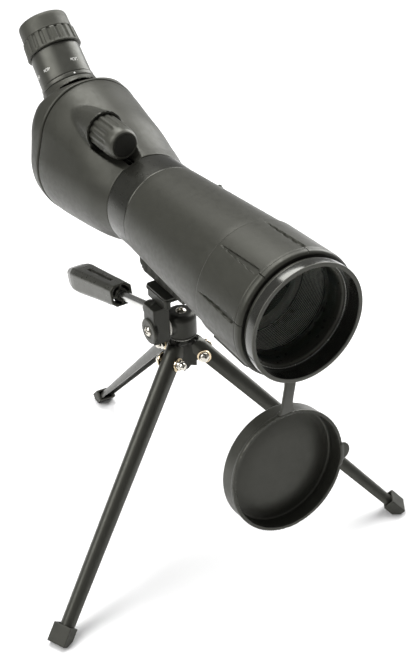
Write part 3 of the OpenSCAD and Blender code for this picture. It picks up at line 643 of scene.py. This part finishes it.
def knob():
    flutes, deep = 14, 0.85

    def shape(radius, height, degrees):
        pitch = 360 / flutes
        away = np.abs((degrees + pitch / 2) % pitch - pitch / 2) / (pitch / 2)
        dip = np.clip(1 - (away / 0.62) ** 2, 0, 1)
        fade = np.clip((22 - height) / 5, 0, 1) * np.clip((height - 1.2) / 1.2, 0, 1)
        fade = fade * fade * (3 - 2 * fade)
        return radius - deep * dip * fade * (radius > 6)
    r = KNOB_R
    outline = rounded([(0, 0), (r - 0.3, 0), (r, 0.8), (r, 18), (r - 0.35, 22), (r - 1.0, 25.3),
                       (r - 2.2, KNOB_LEN), (r - 3.2, KNOB_LEN), (r - 3.2, KNOB_LEN - 0.9),
                       (0, KNOB_LEN - 0.9)], [0, 0.3, 0.5, 2, 2, 2, 0.9, 0.2, 0.1, 0])
    add("knob_grip", [turned(finer(outline, 0.8), KNOB, 14 * 20, shape)], "focus_knob", KNOB_RUBBER,
        ["focus_knob"], sharp=60)
    face = [(0, KNOB_LEN - 1), (r - 3.25, KNOB_LEN - 1), (r - 3.25, KNOB_LEN - 0.25),
            (r - 3.8, KNOB_LEN - 0.1), (0, KNOB_LEN)]
    lathed("knob_face_disc", face, 0.3, 96, KNOB_FACE, "knob_cap", KNOB, "focus_knob")


# ---------- scope: eyepiece ----------

def index_and_sleeve():
    index = [(BARREL_R + 0.1, INDEX_S + 0.15), (17.5, INDEX_S + 0.15), (17.6, INDEX_S + 0.7),
             (17.5, SLEEVE_S - 0.35), (BARREL_R + 0.1, SLEEVE_S - 0.35)]
    lathed("index_band", index, 0.25, 200, SATIN, "index_ring", EYE)
    sleeve = rounded([(BARREL_R + 0.05, SLEEVE_S), (16.9, SLEEVE_S), (17.0, SLEEVE_S + 0.5),
                      (16.5, GRIP_S - 0.1), (15.6, GRIP_S - 0.1), (15.6, CUP_S - 0.3),
                      (BARREL_R + 0.05, CUP_S - 0.3)], 0.2)
    add("scale_sleeve", [turned(finer(sleeve, 3), EYE, 240)], "zoom_ring", SATIN, ["zoom_sleeve"])


def grip():
    ribs, deep = 20, 0.9

    def shape(radius, height, degrees):
        pitch = 360 / ribs
        away = np.abs((degrees + pitch / 2) % pitch - pitch / 2) / (pitch / 2)
        dip = np.clip((0.42 - away) / 0.3 + 0.5, 0, 1)
        fade = np.clip((height - GRIP_S - 0.9) / 0.7, 0, 1) * np.clip((CUP_S - 0.4 - height) / 0.5, 0, 1)
        return radius - deep * dip * dip * (3 - 2 * dip) * fade * (radius > 16.2)
    outline = rounded([(15.7, GRIP_S), (17.9, GRIP_S), (18.35, GRIP_S + 0.7), (18.0, GRIP_S + 2.2),
                       (17.4, CUP_S - 1), (17.0, CUP_S - 0.2), (15.7, CUP_S - 0.2)],
                      [0.1, 0.3, 0.4, 0.8, 0.5, 0.2, 0.1])
    add("grip_rubber", [turned(finer(outline, 0.5), EYE, 20 * 24, shape)], "zoom_ring", EYE_RUBBER,
        ["zoom_grip"], sharp=60)


def cup():
    seat = 95.6
    outline = rounded([(BARREL_R + 0.1, CUP_S), (16.7, CUP_S), (16.6, CUP_S + 1), (16.4, CUP_TOP - 2),
                       (15.9, CUP_TOP), (14.4, CUP_TOP), (13.6, CUP_TOP - 1.2), (12.9, seat + 0.6),
                       (11.6, seat + 0.6), (11.6, seat), (BARREL_R + 0.1, seat)],
                      [0.1, 0.4, 0.4, 1.2, 0.9, 0.8, 1, 0.5, 0.1, 0.1, 0.1])
    add("cup_rubber", [turned(finer(outline, 2), EYE, 200)], "scope", EYE_RUBBER, ["eyecup"])
    lens = turned(lens_shape(12.35, 3, 0.8, 1.2, 93), EYE, 96)
    add("eye_glass", [lens], "scope", FRONT_GLASS, ["eye_lens"])


DIGITS = {
    "0": [(0, 0.2), (0, 0.8), (0.2, 1), (0.5, 1), (0.7, 0.8), (0.7, 0.2), (0.5, 0), (0.2, 0), (0, 0.2)],
    "2": [(0, 0.8), (0.15, 1), (0.55, 1), (0.7, 0.8), (0.7, 0.6), (0, 0), (0.7, 0)],
    "4": [(0.55, 0), (0.55, 1), (0, 0.3), (0.75, 0.3)],
    "6": [(0.6, 1), (0.2, 0.75), (0, 0.35), (0.1, 0.05), (0.5, 0), (0.7, 0.2), (0.6, 0.5), (0.05, 0.45)],
    "x": [(0, 0), (0.5, 0.6)], "y": [(0, 0.6), (0.5, 0)],
}


def stroke(points, wide, lift, radius, centre_s, centre_deg, size):
    """A raised line of ink on the sleeve through flat letter points; it reads from behind the eyepiece."""
    verts, faces = [], []
    pts = np.array(points, float)
    for a, b in zip(pts[:-1], pts[1:]):
        way = (b - a) / np.linalg.norm(b - a)
        side = np.array([-way[1], way[0]]) * wide / 2
        a2, b2 = a - way * wide / 2, b + way * wide / 2
        start = len(verts)
        for level in (radius - 0.05, radius + lift):
            for c in (a2 - side, b2 - side, b2 + side, a2 + side):
                angle = math.radians(180 - centre_deg) + c[0] * size / radius
                verts.append((level * math.sin(angle), level * math.cos(angle), centre_s - c[1] * size))
        faces += [[start + i for i in loop] for loop in
                  ((0, 3, 2, 1), (4, 5, 6, 7), (0, 1, 5, 4), (1, 2, 6, 5), (2, 3, 7, 6), (3, 0, 4, 7))]
    return np.array(verts), faces, EYE


def marks():
    size, wide, lift = 2.0, 0.13, 0.03
    shapes = []
    for text, degrees in (("20", 11), ("40", -56), ("60", -94)):
        centre = 64.2
        radius = 17 - (centre - SLEEVE_S) * 0.5 / (GRIP_S - SLEEVE_S)
        x = -1.15
        for letter in text + "xy":
            line = [(x + px, py - 0.5) for px, py in DIGITS[letter]]
            shapes.append(stroke(line, wide, lift, radius, centre, degrees, size))
            x += 0 if letter == "x" else 0.95
    add("zoom_numbers", shapes, "zoom_ring", MARK)
    s, degrees = INDEX_S + 1.5, -2.3
    angle = math.radians(180 - degrees)
    centre = Vector((17.6 * math.sin(angle), 17.6 * math.cos(angle), s))
    where = EYE @ spot(*centre) @ Matrix.Rotation(-angle, 4, "Z") @ turn(-90, "X")
    dot = rounded([(0, -0.2), (0.6, -0.2), (0.6, 0.12), (0, 0.16)], 0.1)
    add("index_dot", [turned(dot, where, 32)], "scope", MARK)


# ---------- cap and tether ----------

def cap():
    ring_r, deep = 34.75, 10.4

    def solid(p):
        out = np.hypot(p[:, 0], p[:, 1])
        z = p[:, 2]

        def drum(r, low, high, edge):
            q = np.stack([out - r + edge, np.abs(z - (low + high) / 2) - (high - low) / 2 + edge], 1)
            return np.linalg.norm(np.maximum(q, 0), axis=1) + np.minimum(q.max(1), 0) - edge
        body = drum(CAP_R, -12, 0, 1.4)
        band = np.maximum(np.abs(z + 1.1) - 1.1, np.abs(out - CAP_R) - 0.35)
        body = smooth_min(body, band, 0.6)
        tab = rod(p, (36.4, -2.2, -1.9), (36.4, -2.2, -0.05), 5.4, 0.6)
        neck = block(p, (31, -9.5, -1.9), (35.9, 2.4, -0.05), 0.6)
        hold = block(p, (-2.6, 34.6, -3.0), (4.6, 37.8, -0.3), 0.8)
        body = smooth_min(smooth_min(smooth_min(body, tab, 1), neck, 2), hold, 1.5)
        floor = -8.7 - 1.7 * np.clip((out - 16) / 15, 0, 1) ** 2 - z
        inside = smooth_max(drum(ring_r, -deep, 6, 1.3), floor, 1.0)
        return smooth_max(body, -inside, 0.35)
    shell = net(solid, (-38.4, -38.4, -13.2), (43.2, 39.8, 1.2), 0.62, CAP)
    add("cap_cup", [shell], "cap", CAP_FINISH, ["objective_cap"], sharp=50)


def ribbon(path, wide, thick, flare, sway):
    """A rubber strap along path points (y, z): an oval section, wider by flare towards the last point,
    pushed sideways by sway(z) mm."""
    path = np.array(path, float)
    rows, around = len(path), 20
    way = np.gradient(path, axis=0)
    way /= np.linalg.norm(way, axis=1)[:, None]
    side = np.stack([way[:, 1], -way[:, 0]], 1)
    points = []
    for i in range(rows):
        w = wide * (1 + flare * (i / (rows - 1)) ** 3)
        for k in range(around):
            a = 2 * math.pi * k / around
            c, s = math.cos(a), math.sin(a)
            u = math.copysign(abs(c) ** 0.35, c) * w / 2
            v = math.copysign(abs(s) ** 0.5, s) * thick / 2
            y, z = path[i] + side[i] * v
            points.append((TETHER_X + sway(path[i][1]) + u, y, z))
    faces = [[i * around + k, i * around + (k + 1) % around, (i + 1) * around + (k + 1) % around,
              (i + 1) * around + k] for i in range(rows - 1) for k in range(around)]
    faces += [list(reversed(range(around))), [(rows - 1) * around + k for k in range(around)]]
    return np.array(points), faces, WORLD


def tether():
    hinge, rim = joint("strap_swing")["pos_m"], joint("cap_swing")["pos_m"]
    hy, hz = (hinge[1] - PAN.y) / MM, hinge[2] / MM
    ry, rz = (rim[1] - PAN.y) / MM, rim[2] / MM
    top = (hy, hz + 4.5)
    low = (ry, rz - 0.4)
    middle_z = (hz + rz) / 2
    bow = -0.75

    def sway(z):
        t = min(1.0, max(0.0, (hz - 3 - z) / (hz - 3 - rz)))
        return -0.8 * math.sin(math.pi * t)

    def route(z):
        t = (top[1] - z) / (top[1] - low[1])
        return top[0] + (low[0] - top[0]) * t ** 1.6 + bow * math.sin(math.pi * t), z
    upper = [route(z) for z in np.linspace(top[1], middle_z, 16)]
    lower = [route(z) for z in np.linspace(middle_z, low[1], 16)]
    loop = band(33.0, 33.6, LOOP_F - 1.1, LOOP_F + 1.1, 0.2, 2)
    add("tether_ring", [turned(loop, SCOPE, 160)], "tether_loop", CAP_FINISH, ["tether_loop"])

    def at(y, z):
        return tuple(PAN + Vector((TETHER_X, y, z)) * MM)
    first = add("strap_upper", [ribbon(upper, STRAP_W, STRAP_T, 0.0, sway)], None, CAP_FINISH,
                ["tether_strap"])
    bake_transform(first)
    second = add("strap_lower", [ribbon(lower, STRAP_W, STRAP_T, 0.35, sway)], None, CAP_FINISH,
                 ["tether_strap"])
    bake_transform(second)


# ---------- head ----------

def cross(q, size, wide, low):
    """A cross recess seen along the frame's Z, below height low."""
    x, y, z = np.abs(q[:, 0]), np.abs(q[:, 1]), q[:, 2]
    arms = np.minimum(np.maximum(x - size, y - wide), np.maximum(y - size, x - wide))
    return np.maximum(arms, low - z)


def screw_head(r, high):
    """A domed screw head with a cross recess, standing on z = 0 of its own frame."""
    def solid(p):
        ball = (r * r + high * high) / (2 * high)
        dome = np.linalg.norm(p - np.array([0, 0, high - ball]), axis=1) - ball
        head = smooth_max(np.maximum(dome, -p[:, 2] - 0.6), np.hypot(p[:, 0], p[:, 1]) - r, 0.4)
        return smooth_max(head, -cross(p, r * 0.55, r * 0.13, high * 0.25), 0.15)
    return solid


def screws():
    top = spot(0, 0, PAN_TOP + 0.1)
    head = net(screw_head(3.45, 1.6), (-4.2, -4.2, -1), (4.2, 4.2, 2.2), 0.2, top)
    shaft = turned(band(0, 2.5, 120, PAN_TOP, 0.2), WORLD, 48)
    add("pan_screw_steel", [head, shaft], "tripod", NICKEL, ["pan_screw"])
    side = SIDE @ spot(0, 0, 1.45)
    head = net(screw_head(3.25, 1.7), (-4, -4, -1), (4, 4, 2.3), 0.2, side)
    shaft = turned(band(0, 2.4, -20, 0, 0.2), side, 48)
    add("tilt_bolt_steel", [head, shaft], "pan_head", NICKEL, ["tilt_bolt"])


def pan_head():
    def solid(p):
        out = np.hypot(p[:, 0], p[:, 1])
        drum = rod(p, (0, 0, PAN_BOTTOM), (0, 0, PAN_TOP), PAN_R, 0.7)
        slope = (out - PAN_R + p[:, 2] - (PAN_TOP - 2.2)) / math.sqrt(2)
        drum = smooth_max(drum, slope, 1.2)
        boss = rod(p, (SIDE_IN + 0.8, 0, TILT_Z), (-2, 0, TILT_Z), 6.7, 0.3)
        body = smooth_min(drum, boss, 0.6)
        step = np.maximum(np.abs(p[:, 2] - (PAN_BOTTOM + 1.6)) - 0.25, PAN_R - 0.35 - out)
        body = np.maximum(body, -step)
        hollow = np.minimum(rod(p, (0, 0, PAN_BOTTOM - 1), (0, 0, PAN_TOP + 1), 2.55),
                            rod(p, (-20, 0, TILT_Z), (-3.4, 0, TILT_Z), 2.42))
        return np.maximum(body, -hollow)
    add("pan_base_casting", [net(solid, (-11, -10.5, 141), (10.5, 10.5, 159.5), 0.42)], "pan_head", BLACK,
        ["pan_base"], sharp=45)
    disc = [(0, 0), (CHEEK_R, 0), (CHEEK_R, 0.9), (CHEEK_R - 0.8, 1.35), (4.6, 1.35), (4.4, 1.0), (0, 1.0)]
    lathed("tilt_disc_plate", disc, 0.25, 96, FOOT_PLASTIC, "tilt_disc", SIDE)


def bracket():
    def solid(p):
        cheek = rod(p, (SIDE_OUT, 0, TILT_Z), (SIDE_OUT + 2, 0, TILT_Z), CHEEK_R, 0.5)
        post = block(p, (SIDE_OUT, -5.5, TILT_Z - 8.1), (SIDE_IN, 7, 168.2), 0.5)
        arm = block(p, (-11.5, -5.5, ARM_Z), (11.4, 10.5, ARM_TOP), 0.5)
        arm = np.minimum(arm, block(p, (-11.5, -5.5, 166), (-10.4, 10.5, ARM_TOP), 0.3))
        socket = into(HANDLE, p)
        boss = rod(socket, (0, 0, -9), (0, 0, 0.6), 5.1, 0.5)
        body = smooth_min(smooth_min(smooth_min(cheek, post, 0.5), arm, 0.8), boss, 0.8)
        hollow = np.minimum(rod(p, (SIDE_OUT - 2, 0, TILT_Z), (SIDE_IN + 1, 0, TILT_Z), 2.46),
                            rod(socket, (0, 0, -7.2), (0, 0, 12), 3.06))
        hollow = np.minimum(hollow, rod(p, (0, DECK_Y, ARM_Z - 2), (0, DECK_Y, ARM_TOP + 2), 3.3))
        return np.maximum(body, -hollow)
    shape = net(solid, (-23, -9, 142.6), (13, 15, 172.6), 0.42)
    add("bracket_casting", [shape], "scope", BLACK, ["tilt_bracket"], sharp=45)


def platform():
    def plate(p):
        body = block(p, (-16, -9.5, PLATE_LOW), (11.8, 15, PLATE_LOW + 1.55), 0.4)
        corner = block(p, (-16, -9.5, PLATE_LOW - 19), (11.8, 15, PLATE_LOW + 19), 2.5)
        skirt = block(p, (-16, -9.5, 168.3), (-11.7, 12, PLATE_LOW + 1.5), 1.0)
        body = smooth_max(smooth_min(body, skirt, 0.4), corner, 0.4)
        return np.maximum(body, -rod(p, (0, DECK_Y, 165), (0, DECK_Y, 180), 3.3))
    add("deck_plate", [net(plate, (-17, -10.6, 167), (13, 16.2, 175.4), 0.42)], "scope", BLACK,
        ["platform_plate"], sharp=45)

    def pad(p):
        body = block(p, (-15.7, -9.2, DECK_Z - 1.4), (11.5, 14.7, DECK_Z - 0.05), 0.4)
        corner = block(p, (-15.7, -9.2, DECK_Z - 9), (11.5, 14.7, DECK_Z + 9), 2.3)
        body = smooth_max(body, corner, 0.4)
        return np.maximum(body, -rod(p, (0, DECK_Y, 165), (0, DECK_Y, 185), 3.6))
    add("deck_pad", [net(pad, (-16.8, -10.2, 173.6), (12.6, 15.8, 177), 0.42)], "scope", DECK_RUBBER,
        ["platform_pad"], sharp=45)

    def knurl(radius, height, degrees):
        return radius - 0.35 * (0.5 + 0.5 * np.cos(np.radians(degrees * 36))) * (radius > 9)
    wheel = band(3.1, 11, ARM_TOP + 0.1, ARM_TOP + 1.3, 0.2)
    add("wheel_knurled", [turned(wheel, spot(0, DECK_Y, 0), 432, knurl)], "camera_screw", FOOT_PLASTIC,
        ["screw_wheel"])


def mounting_foot():
    def solid(p):
        body = block(p, (-11, -22, DECK_Z + 1.2), (11, 30, DECK_Z + 20), 1.2)
        sole = block(p, (-9.5, -20, DECK_Z), (9.5, 28, DECK_Z + 4), 0.7)
        body = smooth_min(body, sole, 0.8)
        chamfer = (p[:, 1] - 30 + (DECK_Z + 7 - p[:, 2]) * 0.9) / 1.35
        body = smooth_max(body, chamfer, 0.4)
        pitch = 1.6
        wave = np.abs((p[:, 1] + pitch / 2) % pitch - pitch / 2)
        ribs = np.maximum(np.maximum(wave - 0.42, 10.2 - np.abs(p[:, 0])), DECK_Z + 2.2 - p[:, 2])
        ribs = np.maximum(ribs, np.abs(p[:, 1] - 4) - 24)
        body = smooth_max(body, -ribs, 0.2)
        out, f = np.hypot(p[:, 0], p[:, 2] - AXIS_Z), -p[:, 1]
        barrel_r = 29.5 + np.maximum(f - SEAM_F, 0) * 5.5 / (HOOD_F - SEAM_F)
        socket = rod(p, (0, DECK_Y, DECK_Z - 3), (0, DECK_Y, DECK_Z + 10.5), 5)
        return np.maximum(np.maximum(body, barrel_r - out), -socket)
    shape = net(solid, (-12, -23, 175), (12, 31.2, 193.5), 0.42)
    add("foot_block", [shape], "scope", FOOT_PLASTIC, ["mount_foot"], sharp=40)


def handle():
    bar = band(0, 3, -7, 60, 0.4)
    add("handle_bar", [turned(finer(bar, 8), HANDLE, 64)], "handle", STEEL, ["handle_rod"])
    length = HANDLE_LEN

    def solid(p):
        s = np.clip((p[:, 2] - HANDLE_NEAR) / length, 0, 1)
        half = np.interp(s, [0, 0.35, 0.75, 0.82, 0.93, 1.0], [7.6, 8.2, 9.2, 9.0, 7.4, 5.6])
        x, y = np.abs(p[:, 0]), np.abs(p[:, 1])
        body = smooth_max(smooth_max(x - half, y - half * 0.94, 0.8), (x + y) / math.sqrt(2) - half * 1.14, 0.8)
        body = smooth_max(body, HANDLE_NEAR - p[:, 2], 0.6)
        body = smooth_max(body, p[:, 2] - HANDLE_NEAR - length, 1.0)
        slot = np.maximum(x - 1.15, np.abs(s - 0.40) * length - 0.24 * length)
        slot = np.maximum(slot, half * 0.94 - 1.6 - y)
        body = smooth_max(body, -slot, 0.3)
        out = np.hypot(x, y)
        pockets = np.maximum(np.maximum(out - (half - 1.3), 4.3 - out), p[:, 2] - HANDLE_NEAR - 16)
        pockets = np.maximum(pockets, 0.8 - np.minimum(x, y))
        scallop = np.maximum(np.hypot(x - 7.9, y - 7.9) - 2.6, p[:, 2] - HANDLE_NEAR - 7)
        body = smooth_max(smooth_max(body, -pockets, 0.4), -scallop, 0.9)
        return np.maximum(body, -rod(p, (0, 0, HANDLE_NEAR - 3), (0, 0, 60.5), 3.02))
    shape = net(solid, (-11.5, -11.5, HANDLE_NEAR - 1), (11.5, 11.5, HANDLE_NEAR + length + 1), 0.5, HANDLE)
    add("grip_moulding", [shape], "handle", GRIP_PLASTIC, ["handle_grip"], sharp=45)


# ---------- tripod ----------

def hub():
    lug_r, lug_w, low = 3.3, 5.2, 118

    def solid(p):
        column = rod(p, (0, 0, low - 1), (0, 0, HUB_TOP), 4.6, 0.6)
        flange = rod(p, (0, 0, HUB_TOP - 4.4), (0, 0, HUB_TOP), 6, 0.5)
        body = smooth_min(column, flange, 1.5)
        bores = rod(p, (0, 0, low + 1), (0, 0, HUB_TOP + 3), 2.52)
        for degrees in LEG_TURNS:
            a = math.radians(degrees)
            out = p[:, 0] * math.sin(a) - p[:, 1] * math.cos(a)
            side = np.abs(p[:, 0] * math.cos(a) + p[:, 1] * math.sin(a))
            up = p[:, 2]
            pin = np.maximum(np.hypot(out - PIVOT_R, up - PIVOT_Z) - lug_r, side - lug_w / 2)
            top = (HUB_TOP - 2.5 - up) * 0.9 - (out - 7.5) * 0.62
            foot = (up - low) * 0.70 - (out - 4.5) * 0.70
            web = np.maximum(np.maximum(-top, -foot), np.maximum(side - lug_w / 2, out - PIVOT_R))
            web = np.maximum(web, np.maximum(up - HUB_TOP + 1, -out))
            rib = np.maximum(np.maximum(side - 0.9, out - 9), np.maximum(low - up, up - HUB_TOP + 1))
            rib = np.maximum(rib, -out)
            body = smooth_min(body, smooth_min(web + 0.125, pin, 1.0), 1.4)
            body = smooth_min(body, rib, 0.6)
            pivot = np.array([PIVOT_R * math.sin(a), -PIVOT_R * math.cos(a), PIVOT_Z])
            way = np.array([math.cos(a), math.sin(a), 0])
            bores = np.minimum(bores, rod(p, pivot - way * 6, pivot + way * 6, 2.02))
        return np.maximum(body, -bores)
    shape = net(solid, (-19, -19, 115), (19, 19, 142), 0.42)
    add("hub_moulding", [shape], "tripod", HUB_BLACK, ["hub"], sharp=45)


def channel_outline(wide, back, front, wall):
    """The leg's section as a closed loop: outside round the back, then inside."""
    steps = 14
    half, centre = wide / 2, -back + wide / 2
    arc = [math.pi + math.pi * k / steps for k in range(steps + 1)]
    outside = [(-half, front)] + [(half * math.cos(a), centre + half * math.sin(a)) for a in arc]
    outside += [(half, front)]
    inner = half - wall
    inside = [(inner, front)] + [(inner * math.cos(a), centre + inner * math.sin(a)) for a in reversed(arc)]
    inside += [(-inner, front)]
    return outside + inside


def leg(number):
    where = leg_frame(LEG_TURNS[number])
    stations = 34
    rows = []
    for k in range(stations + 1):
        t = k / stations
        z = LEG_TOP + (4 - LEG_LEN - LEG_TOP) * t
        wide = LEG_W + (FOOT_W - LEG_W) * t
        back, front = LEG_BACK + (FOOT_BACK - LEG_BACK) * t, LEG_FRONT + (FOOT_FRONT - LEG_FRONT) * t
        section = np.array(channel_outline(wide, back, front, LEG_WALL))
        rows.append(np.column_stack([section, np.full(len(section), z)]))
    mid = (LEG_FRONT - LEG_BACK) / 2
    reach = (LEG_FRONT + LEG_BACK) / 2
    top = rows[0]
    top[:, 2] -= reach * (1 - np.sqrt(np.clip(1 - ((top[:, 1] - mid) / reach) ** 2, 0, 1)))
    second = rows[1]
    second[:, 2] = np.minimum(second[:, 2], LEG_TOP - reach - 0.5)
    size = len(top)
    points = np.concatenate(rows)
    faces = [[i * size + k, (i + 1) * size + k, (i + 1) * size + (k + 1) % size, i * size + (k + 1) % size]
             for i in range(stations) for k in range(size)]
    half = size // 2
    for row, flip in ((0, False), (stations, True)):
        for k in range(half - 1):
            loop = [row * size + k, row * size + k + 1, row * size + size - 2 - k, row * size + size - 1 - k]
            faces.append(loop[::-1] if flip else loop)
    add("leg_%d_channel" % (number + 1), [(points, faces, where)], "leg_%d" % (number + 1), LEG_PAINT,
        ["leg_%d" % (number + 1)], sharp=40)


def boot(number):
    where = leg_frame(LEG_TURNS[number])
    up = np.array(where)
    half = FOOT_W / 2 + 1.65
    back, front = -FOOT_BACK - 1.7, FOOT_FRONT + 1.7

    def solid(p):
        body = block(p, (-half, back, -LEG_LEN - 2), (half, front, 10 - LEG_LEN), 0.45)
        slot = block(p, (-half + 1.4, back + 1.4, 3 - LEG_LEN), (half - 1.4, front - 1.4, 14 - LEG_LEN), 0.3)
        world_z = p @ up[2, :3] + up[2, 3]
        return smooth_max(smooth_max(body, -slot, 0.3), -world_z, 0.3)
    shape = net(solid, (-half - 0.8, back - 0.8, -LEG_LEN - 3), (half + 0.8, front + 0.8, 11 - LEG_LEN), 0.35,
                where)
    add("boot_%d_rubber" % (number + 1), [shape], "leg_%d" % (number + 1), BOOT_RUBBER,
        ["boot_%d" % (number + 1)], sharp=45)


def fasteners():
    washer_x, washer_t = LEG_W / 2 + 0.1, 0.8
    head_x = washer_x + washer_t
    bolts, nuts, washers = [], [], []

    def hexed(radius, height, degrees):
        flat = np.abs((degrees + 30) % 60 - 30)
        six = 3.3 / np.cos(np.radians(30 - np.abs(flat))) * 0.92
        return np.where((radius > 2.9) & (height < 2.3), np.minimum(radius, six + 0.25), radius)
    for degrees in LEG_TURNS:
        at = turn(degrees, "Z") @ spot(0, -PIVOT_R, PIVOT_Z)
        right = at @ turn(90, "Y")
        left = at @ turn(-90, "Y")
        shank = band(0, 2, -head_x - 0.1, head_x + 2, 0.1)
        dome = rounded([(0, 0), (3.4, 0), (3.4, 0.9), (2.7, 2.2), (1.4, 2.9), (0, 3.1)],
                       [0, 0.2, 0.4, 1, 1, 0])
        bolts += [turned(shank, right, 32), turned(dome, left @ spot(0, 0, head_x), 48)]
        nut = rounded([(0, 1.9), (2.0, 1.9), (2.0, 0), (3.5, 0), (3.5, 2.0), (2.6, 2.3), (2.6, 3.6),
                       (2.0, 4.6), (1.0, 5.2), (0, 5.3)], [0, 0.1, 0.1, 0.2, 0.2, 0.3, 0.6, 0.8, 0.8, 0])
        nuts.append(turned(nut, right @ spot(0, 0, head_x), 96, hexed))
        ring = band(2, 4.4, 0, washer_t, 0.15)
        washers += [turned(ring, way @ spot(0, 0, washer_x), 64) for way in (right, left)]
    add("pivot_bolt_set", bolts, "tripod", NICKEL, ["pivot_bolts"])
    add("pivot_nut_set", nuts, "tripod", NICKEL, ["pivot_nuts"])
    add("pivot_washer_set", washers, "tripod", GILT, ["pivot_washers"])


# ---------- pieces that keep their CAD shape ----------

def finish_cad_nodes():
    finishes = {
        "hard": INNER, "lens_black": INNER, "hard_black": BLACK, "satin_plastic": SATIN,
        "coated_glass": INNER_GLASS, "bright_steel": STEEL, "nickel": NICKEL, "nylon": NYLON,
        "brass": BRASS, "rubber_armour": RUBBER, "leg_paint": LEG_PAINT, "hub_plastic": HUB_BLACK,
        "foot_rubber": BOOT_RUBBER,
    }
    for part in frame["record"]["subparts"]:
        mesh = nodes[part["node"]].data
        mesh.materials.clear()
        mesh.materials.append(finishes[part["material_slot"]])


# ---------- stage ----------

def stage():
    size, floor_z = 40.0, -0.0006
    mesh = bpy.data.meshes.new("studio_floor")
    mesh.from_pydata([(-size, -size, floor_z), (size, -size, floor_z), (size, size, floor_z),
                      (-size, size, floor_z)], [], [(0, 1, 2, 3)])
    floor = bpy.data.objects.new("studio_floor", mesh)
    bpy.context.scene.collection.objects.link(floor)
    paint = bpy.data.materials.new("studio_floor")
    paint.use_nodes = True
    shader = paint.node_tree.nodes["Principled BSDF"]
    shader.inputs["Base Color"].default_value = (0.92, 0.92, 0.92, 1)
    shader.inputs["Roughness"].default_value = 0.9
    mesh.materials.append(paint)


def lamp(name, place, aim, size, power, size_y=None):
    data = bpy.data.lights.new(name, "AREA")
    data.shape = "RECTANGLE"
    data.size, data.size_y = size, size_y or size
    data.energy = power
    lit = bpy.data.objects.new(name, data)
    bpy.context.scene.collection.objects.link(lit)
    lit.location = place
    lit.rotation_euler = (Vector(aim) - Vector(place)).to_track_quat("-Z", "Y").to_euler()


def light():
    world = bpy.data.worlds.new("studio")
    world.use_nodes = True
    back = world.node_tree.nodes["Background"]
    back.inputs["Color"].default_value = (1, 1, 1, 1)
    back.inputs["Strength"].default_value = 0.24
    bpy.context.scene.world = world
    bpy.context.scene.view_settings.view_transform = "Standard"
    aim = (0, 0, 0.18)
    lamp("left_box", (-0.95, 0.15, 1.05), aim, 0.7, 14, 1.1)
    lamp("right_box", (1.0, 0.35, 0.7), aim, 0.6, 14, 1.1)
    lamp("top_box", (0.1, 0.5, 1.4), aim, 0.8, 17)


def camera():
    data = bpy.data.cameras.new("camera")
    data.lens = 68.285
    data.sensor_width = 36
    shot = bpy.data.objects.new("camera", data)
    bpy.context.scene.collection.objects.link(shot)
    shot.location = (-0.31401, -0.58033, 0.57061)
    shot.rotation_euler = Euler([math.radians(a) for a in (56.37261, 1.09490, -31.98231)], "XYZ")
    bpy.context.scene.camera = shot


finish_cad_nodes()
barrel()
hood()
front_end()
objective_lenses()
baffles()
collar()
lug()
housing()
rear()
knob()
index_and_sleeve()
grip()
cup()
marks()
cap()
tether()
screws()
pan_head()
bracket()
platform()
mounting_foot()
handle()
hub()
for index in range(3):
    leg(index)
    boot(index)
fasteners()
stage()
light()
camera()
